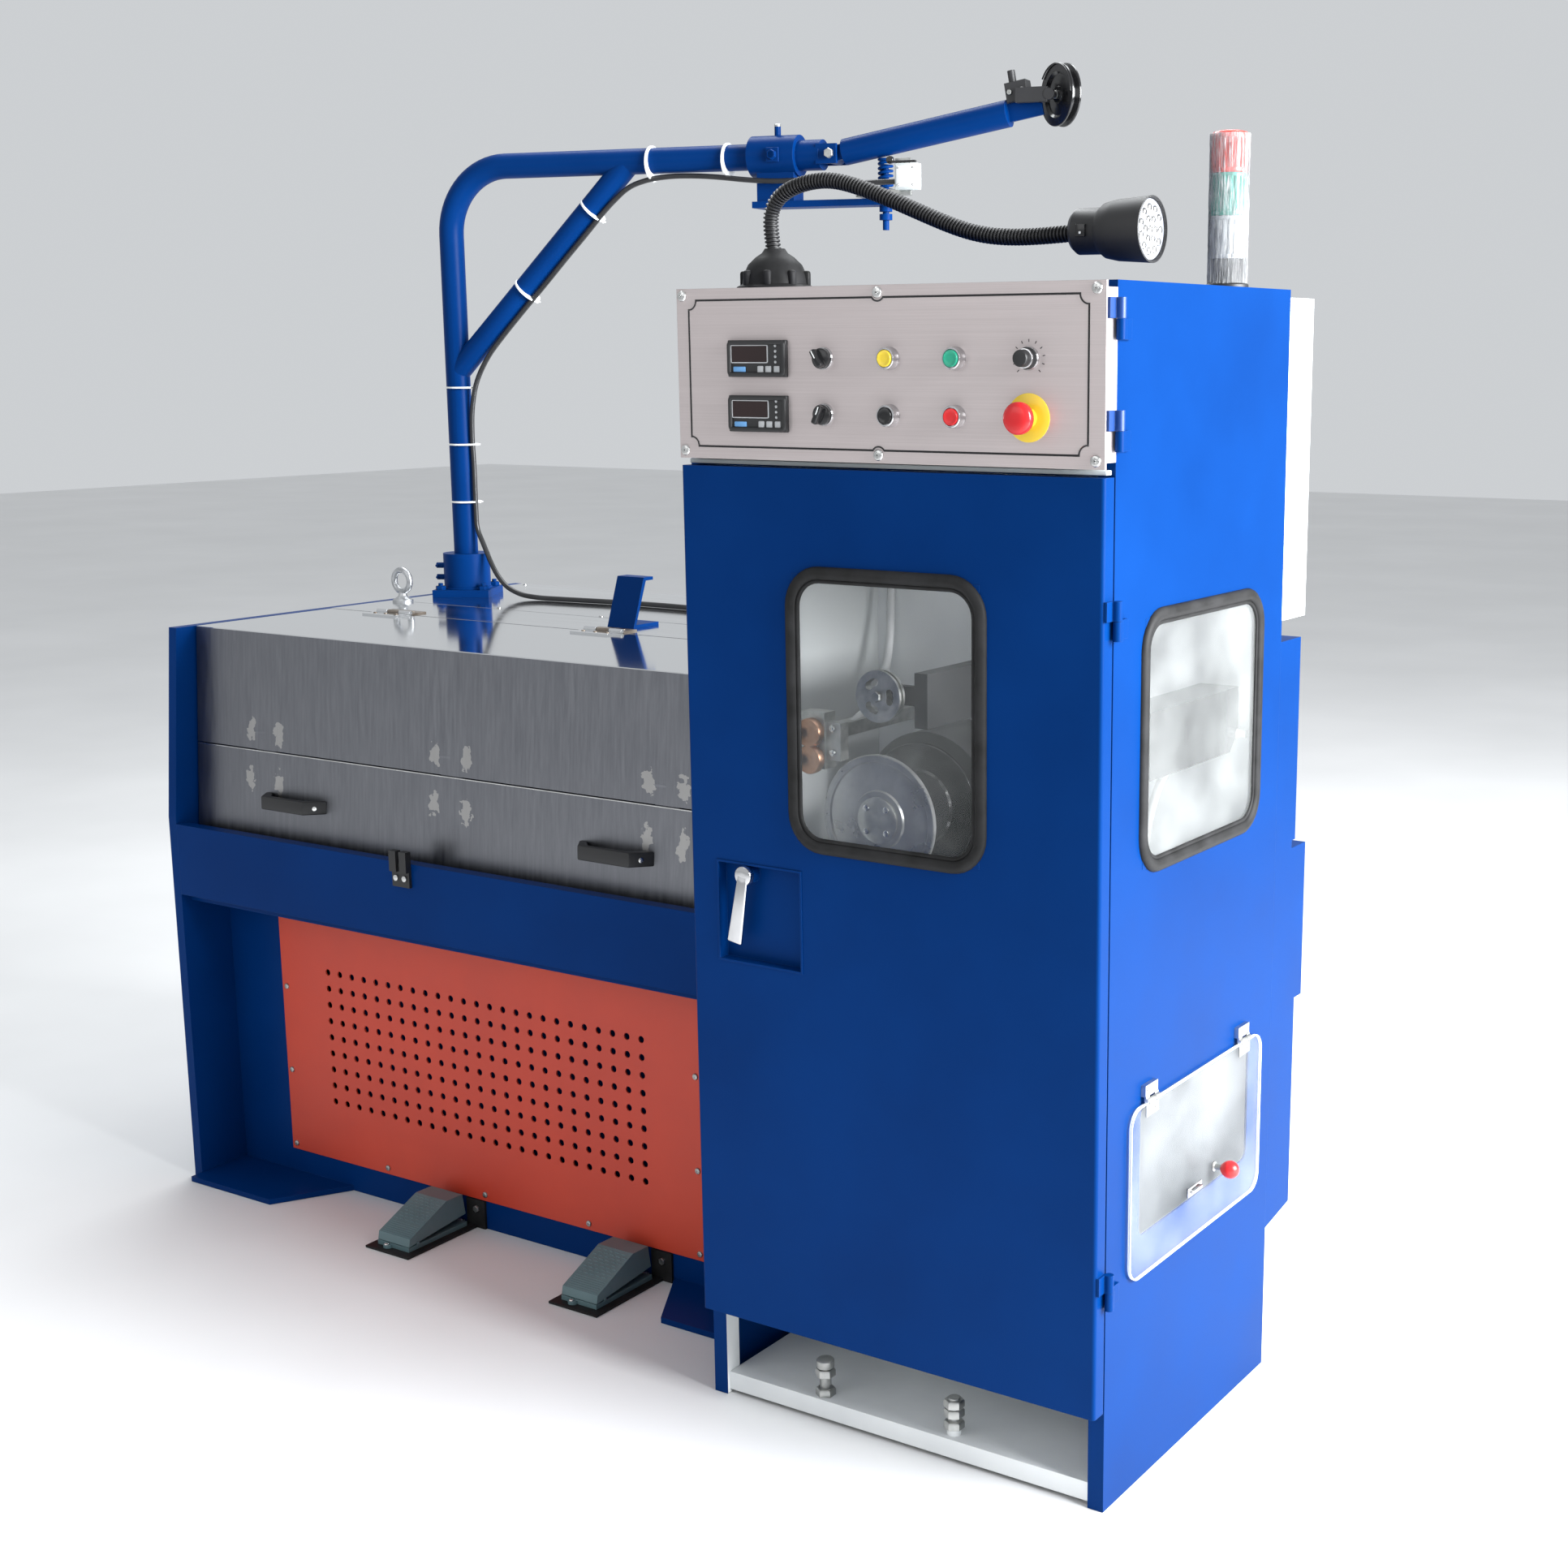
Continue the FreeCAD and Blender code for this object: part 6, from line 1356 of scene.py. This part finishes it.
roller = at_switch(aim(roller, (0.9740, -0.0740, 1.8800), (0, 1, 0)))
finish(joined([arm_bar, roller]), "Switch lever", "mast", gloss_black, smooth=40)
switch_screws = [(tuple(on_arm(out, height, -0.0852)), tuple(-SIDE))
                 for out in (0.9935, 1.0225) for height in (low_z + 0.008, low_z + 0.038)]
fasteners(pan_screw(0.0022, 0.0012), switch_screws, "Switch screws", "mast")

# %% Guide wheel: deep groove between two thin rims, with a dished face
WHEEL_LOW, WHEEL_HIGH = corners("guide_wheel")
WHEEL = (WHEEL_LOW + WHEEL_HIGH) / 2
heading = radians(60.7)
AXLE = (cos(heading), sin(heading), 0)
wheel = turned([(0.0060, -0.0085), (0.0140, -0.0085), (0.0150, -0.0060), (0.0360, -0.0050), (0.0400, -0.0098),
                (0.0540, -0.0100), (0.0550, -0.0090), (0.0548, -0.0065), (0.0455, -0.0012), (0.0455, 0.0012),
                (0.0548, 0.0065), (0.0550, 0.0090), (0.0540, 0.0100), (0.0400, 0.0098), (0.0360, 0.0050),
                (0.0150, 0.0060), (0.0140, 0.0085), (0.0060, 0.0085)], tuple(WHEEL), AXLE, 72)
finish(wheel, "Grooved wheel", "wheel", gloss_black, ("guide_wheel",), 40)
fasteners(cap_screw(0.0075, 0.0040), [(tuple(WHEEL - Vector(AXLE) * 0.0089), tuple(-Vector(AXLE)))],
          "Wheel screw", "dancer", zinc_steel)

# %% Wire guard over the wheel
guard_points = []
across_wheel = Vector((-sin(heading), cos(heading), 0))
for number in range(13):
    angle = radians(35 + 12 * number)
    guard_points.append(tuple(WHEEL + across_wheel * 0.0535 * cos(angle) + Vector((0, 0, 0.0535 * sin(angle)))
                              - Vector(AXLE) * 0.0128))
guard = swept(guard_points, 0.0014, order=3, resolution=3, sides=3)
finish(guard, "Wire guard", "dancer", gloss_black, smooth=60)

# %% Clamp screws at the dancer arm's tip
RISE = radians(10.1)
PIVOT = on_arm(0.836, 1.900)
ALONG_ARM = OUT * cos(RISE) + Vector((0, 0, sin(RISE)))
ARM_UP = -OUT * sin(RISE) + Vector((0, 0, cos(RISE)))


def on_dancer(out, up, side=0.0):
    """A point in the raised dancer arm's own directions."""
    return PIVOT + ALONG_ARM * out + ARM_UP * up + SIDE * side


clamp_screws = [(tuple(on_dancer(0.358 + step, 0.033, -0.0162)), tuple(-SIDE)) for step in (0.0, 0.024)]
fasteners(cap_screw(0.0045, 0.0035), clamp_screws, "Clamp screws", "dancer", zinc_steel)

# %% [markdown]
# ## Inside the chamber
# Through the window the eye meets the take-up spool first. Its hub has four screws, and its
# front flange is still covered with stretched film.

# %% Spool
SPOOL_LOW, SPOOL_HIGH = corners("take_up_spool")
SPOOL = Vector(((SPOOL_LOW.x + SPOOL_HIGH.x) / 2, SPOOL_LOW.y, (SPOOL_LOW.z + SPOOL_HIGH.z) / 2))
rim = (SPOOL_HIGH.x - SPOOL_LOW.x) / 2
deep = SPOOL_HIGH.y - SPOOL_LOW.y
flange = turned([(0.0125, 0.0), (0.0420, 0.0), (0.0440, 0.0030), (rim - 0.012, 0.0030), (rim - 0.010, 0.0006),
                 (rim - 0.0012, 0.0), (rim, 0.0012), (rim, 0.0068), (rim - 0.0012, 0.0080), (0.058, 0.0080)],
                tuple(SPOOL), BACK, 72)
spool_alloy = mottled("Spool alloy", (0.34, 0.34, 0.34), (0.52, 0.52, 0.51), (0.25, 0.4), metallic=0.9, scale=22.0,
                      bump=0.15, fold=0.0)
finish(flange, "Spool front flange", "spool", spool_alloy, ("take_up_spool",), 35)
barrel = turned([(0.0560, 0.0081), (0.0550, 0.0140), (0.0550, deep - 0.0140), (0.058, deep - 0.0100),
                 (rim - 0.0012, deep - 0.0080), (rim, deep - 0.0068), (rim, deep - 0.0012), (rim - 0.0012, deep),
                 (0.0125, deep)], tuple(SPOOL), BACK, 72)
finish(barrel, "Spool barrel", "spool", gloss_black, smooth=35)
hub = turned([(0.0340, 0.0), (0.0340, 0.0030), (0.0320, 0.0042), (0.0160, 0.0042)], tuple(SPOOL), FRONT, 48)
finish(hub, "Spool hub", "spool", zinc_steel)
hub_places = [((SPOOL.x + 0.0245 * cos(radians(45 + 90 * n)), SPOOL.y - 0.0040,
                SPOOL.z + 0.0245 * sin(radians(45 + 90 * n))), FRONT) for n in range(4)]
fasteners(cap_screw(0.0048, 0.0030), hub_places, "Spool hub screws", "spool")
bpy.ops.object.select_all(action="DESELECT")
bpy.ops.mesh.primitive_grid_add(x_subdivisions=28, y_subdivisions=28, size=0.172, location=(0, 0, 0))
film = bpy.context.object
open_mesh()
bpy.ops.transform.vertex_random(offset=0.0022, seed=9)
close_mesh()
for vertex in film.data.vertices:
    reach = Vector((vertex.co.x, vertex.co.y)).length
    square = max(abs(vertex.co.x), abs(vertex.co.y), 1e-6)
    grow = square / max(reach, 1e-6)
    vertex.co.x *= grow
    vertex.co.y *= grow
film.matrix_world = Matrix.Translation((SPOOL.x, SPOOL.y - 0.0075, SPOOL.z)) @ Matrix.Rotation(radians(90), 4, "X")
finish(film, "Spool film", "spool", wrap_sheet, smooth=80)

# %% Guide roller with its kidney holes already cut: a nut on its pin
roller_front = corners("guide_roller")[0].y
fasteners(hexagon(0.0080, 0.0050), [((0.558, roller_front - 0.0018, 1.054), FRONT)],
          "Roller nut", "machine", zinc_steel)

# %% Dies in their holder, with clamp screws
die = turned([(0.0215, 0), (0.0215, 0.010), (0.0200, 0.012), (0.0110, 0.012), (0.0060, 0.008)], sides=40)
dies = copies(die, [((0.435, -0.298, 0.990), FRONT), ((0.435, -0.298, 0.950), FRONT)])
finish(dies, "Dies", "machine", copper_metal, smooth=40)
die_places = [((0.470, -0.294, z), FRONT) for z in (0.962, 0.998)]
fasteners(cap_screw(0.0050, 0.0040), die_places, "Die holder screws", "machine")

# %% Hoses along the chamber's rear wall
hose_paths = [[(0.405, -0.034, 1.36), (0.402, -0.036, 1.24), (0.410, -0.050, 1.12), (0.428, -0.090, 1.03),
               (0.436, -0.180, 0.985), (0.436, -0.266, 0.978)],
              [(1.010, -0.034, 1.00), (0.960, -0.036, 1.005), (0.905, -0.036, 0.975), (0.862, -0.036, 0.905),
               (0.850, -0.036, 0.815)]]
hoses = [swept(path, 0.0065, order=4, resolution=8, sides=4) for path in hose_paths]
finish(joined(hoses), "Chamber hoses", "machine", hose_grey, smooth=60)

# %% [markdown]
# ## Foot space and rear
# Two levelling bolts stand on the white pan. At the rear, covers are held by corner bolts.

# %% Levelling bolts
PAN_HIGH = corners("base_pan")[1]
BOLT_LINE, pan_top = -0.446, 0.034
pan_to_head = PAN_HIGH.z - pan_top
bolt_parts = []
for x, nuts_at, head in ((0.549, (0.000, 0.030), True), (0.772, (0.010, 0.028, 0.042), False)):
    bolt_parts.append(turned([(0.0082, 0), (0.0086, 0.0006), (0.0086, pan_to_head - 0.0006),
                              (0.0080, pan_to_head + 0.0002)], (x, BOLT_LINE, pan_top), UP, 28))
    for rise in nuts_at:
        bolt_parts.append(copies(hexagon(0.0150, 0.0110), [((x, BOLT_LINE, pan_top + rise), UP)]))
    if head:
        bolt_parts.append(copies(cap_screw(0.0132, 0.0130), [((x, BOLT_LINE, PAN_HIGH.z - 0.0127), UP)]))
finish(joined(bolt_parts), "Levelling bolts", "machine", zinc_steel)

# %% Bolts of the rear covers
rear_places = [((x, 0.120, z), BACK) for x in (0.711, 1.007) for z in (0.835, 1.107)]
rear_places += [((x, 0.160, z), BACK) for x in (0.701, 1.007) for z in (0.583, 0.789)]
fasteners(hexagon(0.0065, 0.0045), rear_places, "Rear cover bolts", "machine", zinc_steel)
box_screws = [((x, 0.132, z), BACK) for x in (0.72, 1.008) for z in (1.16, 1.596)]
fasteners(pan_screw(0.0042, 0.0022), box_screws, "Box screws", "machine", zinc_steel)

# %% [markdown]
# ## The floor
# The floor isn't part of the machine, so no body carries it.

# %% Floor
bpy.ops.object.select_all(action="DESELECT")
bpy.ops.mesh.primitive_plane_add(size=40, location=(0, 0, -0.0005))
floor = bpy.context.object
floor.name = "Floor"
floor.data.materials.append(mottled("Pale floor", (0.74, 0.74, 0.74), (0.80, 0.80, 0.80), (0.5, 0.65), scale=1.0,
                                    fine=60.0, bump=0.02, fold=0.0))
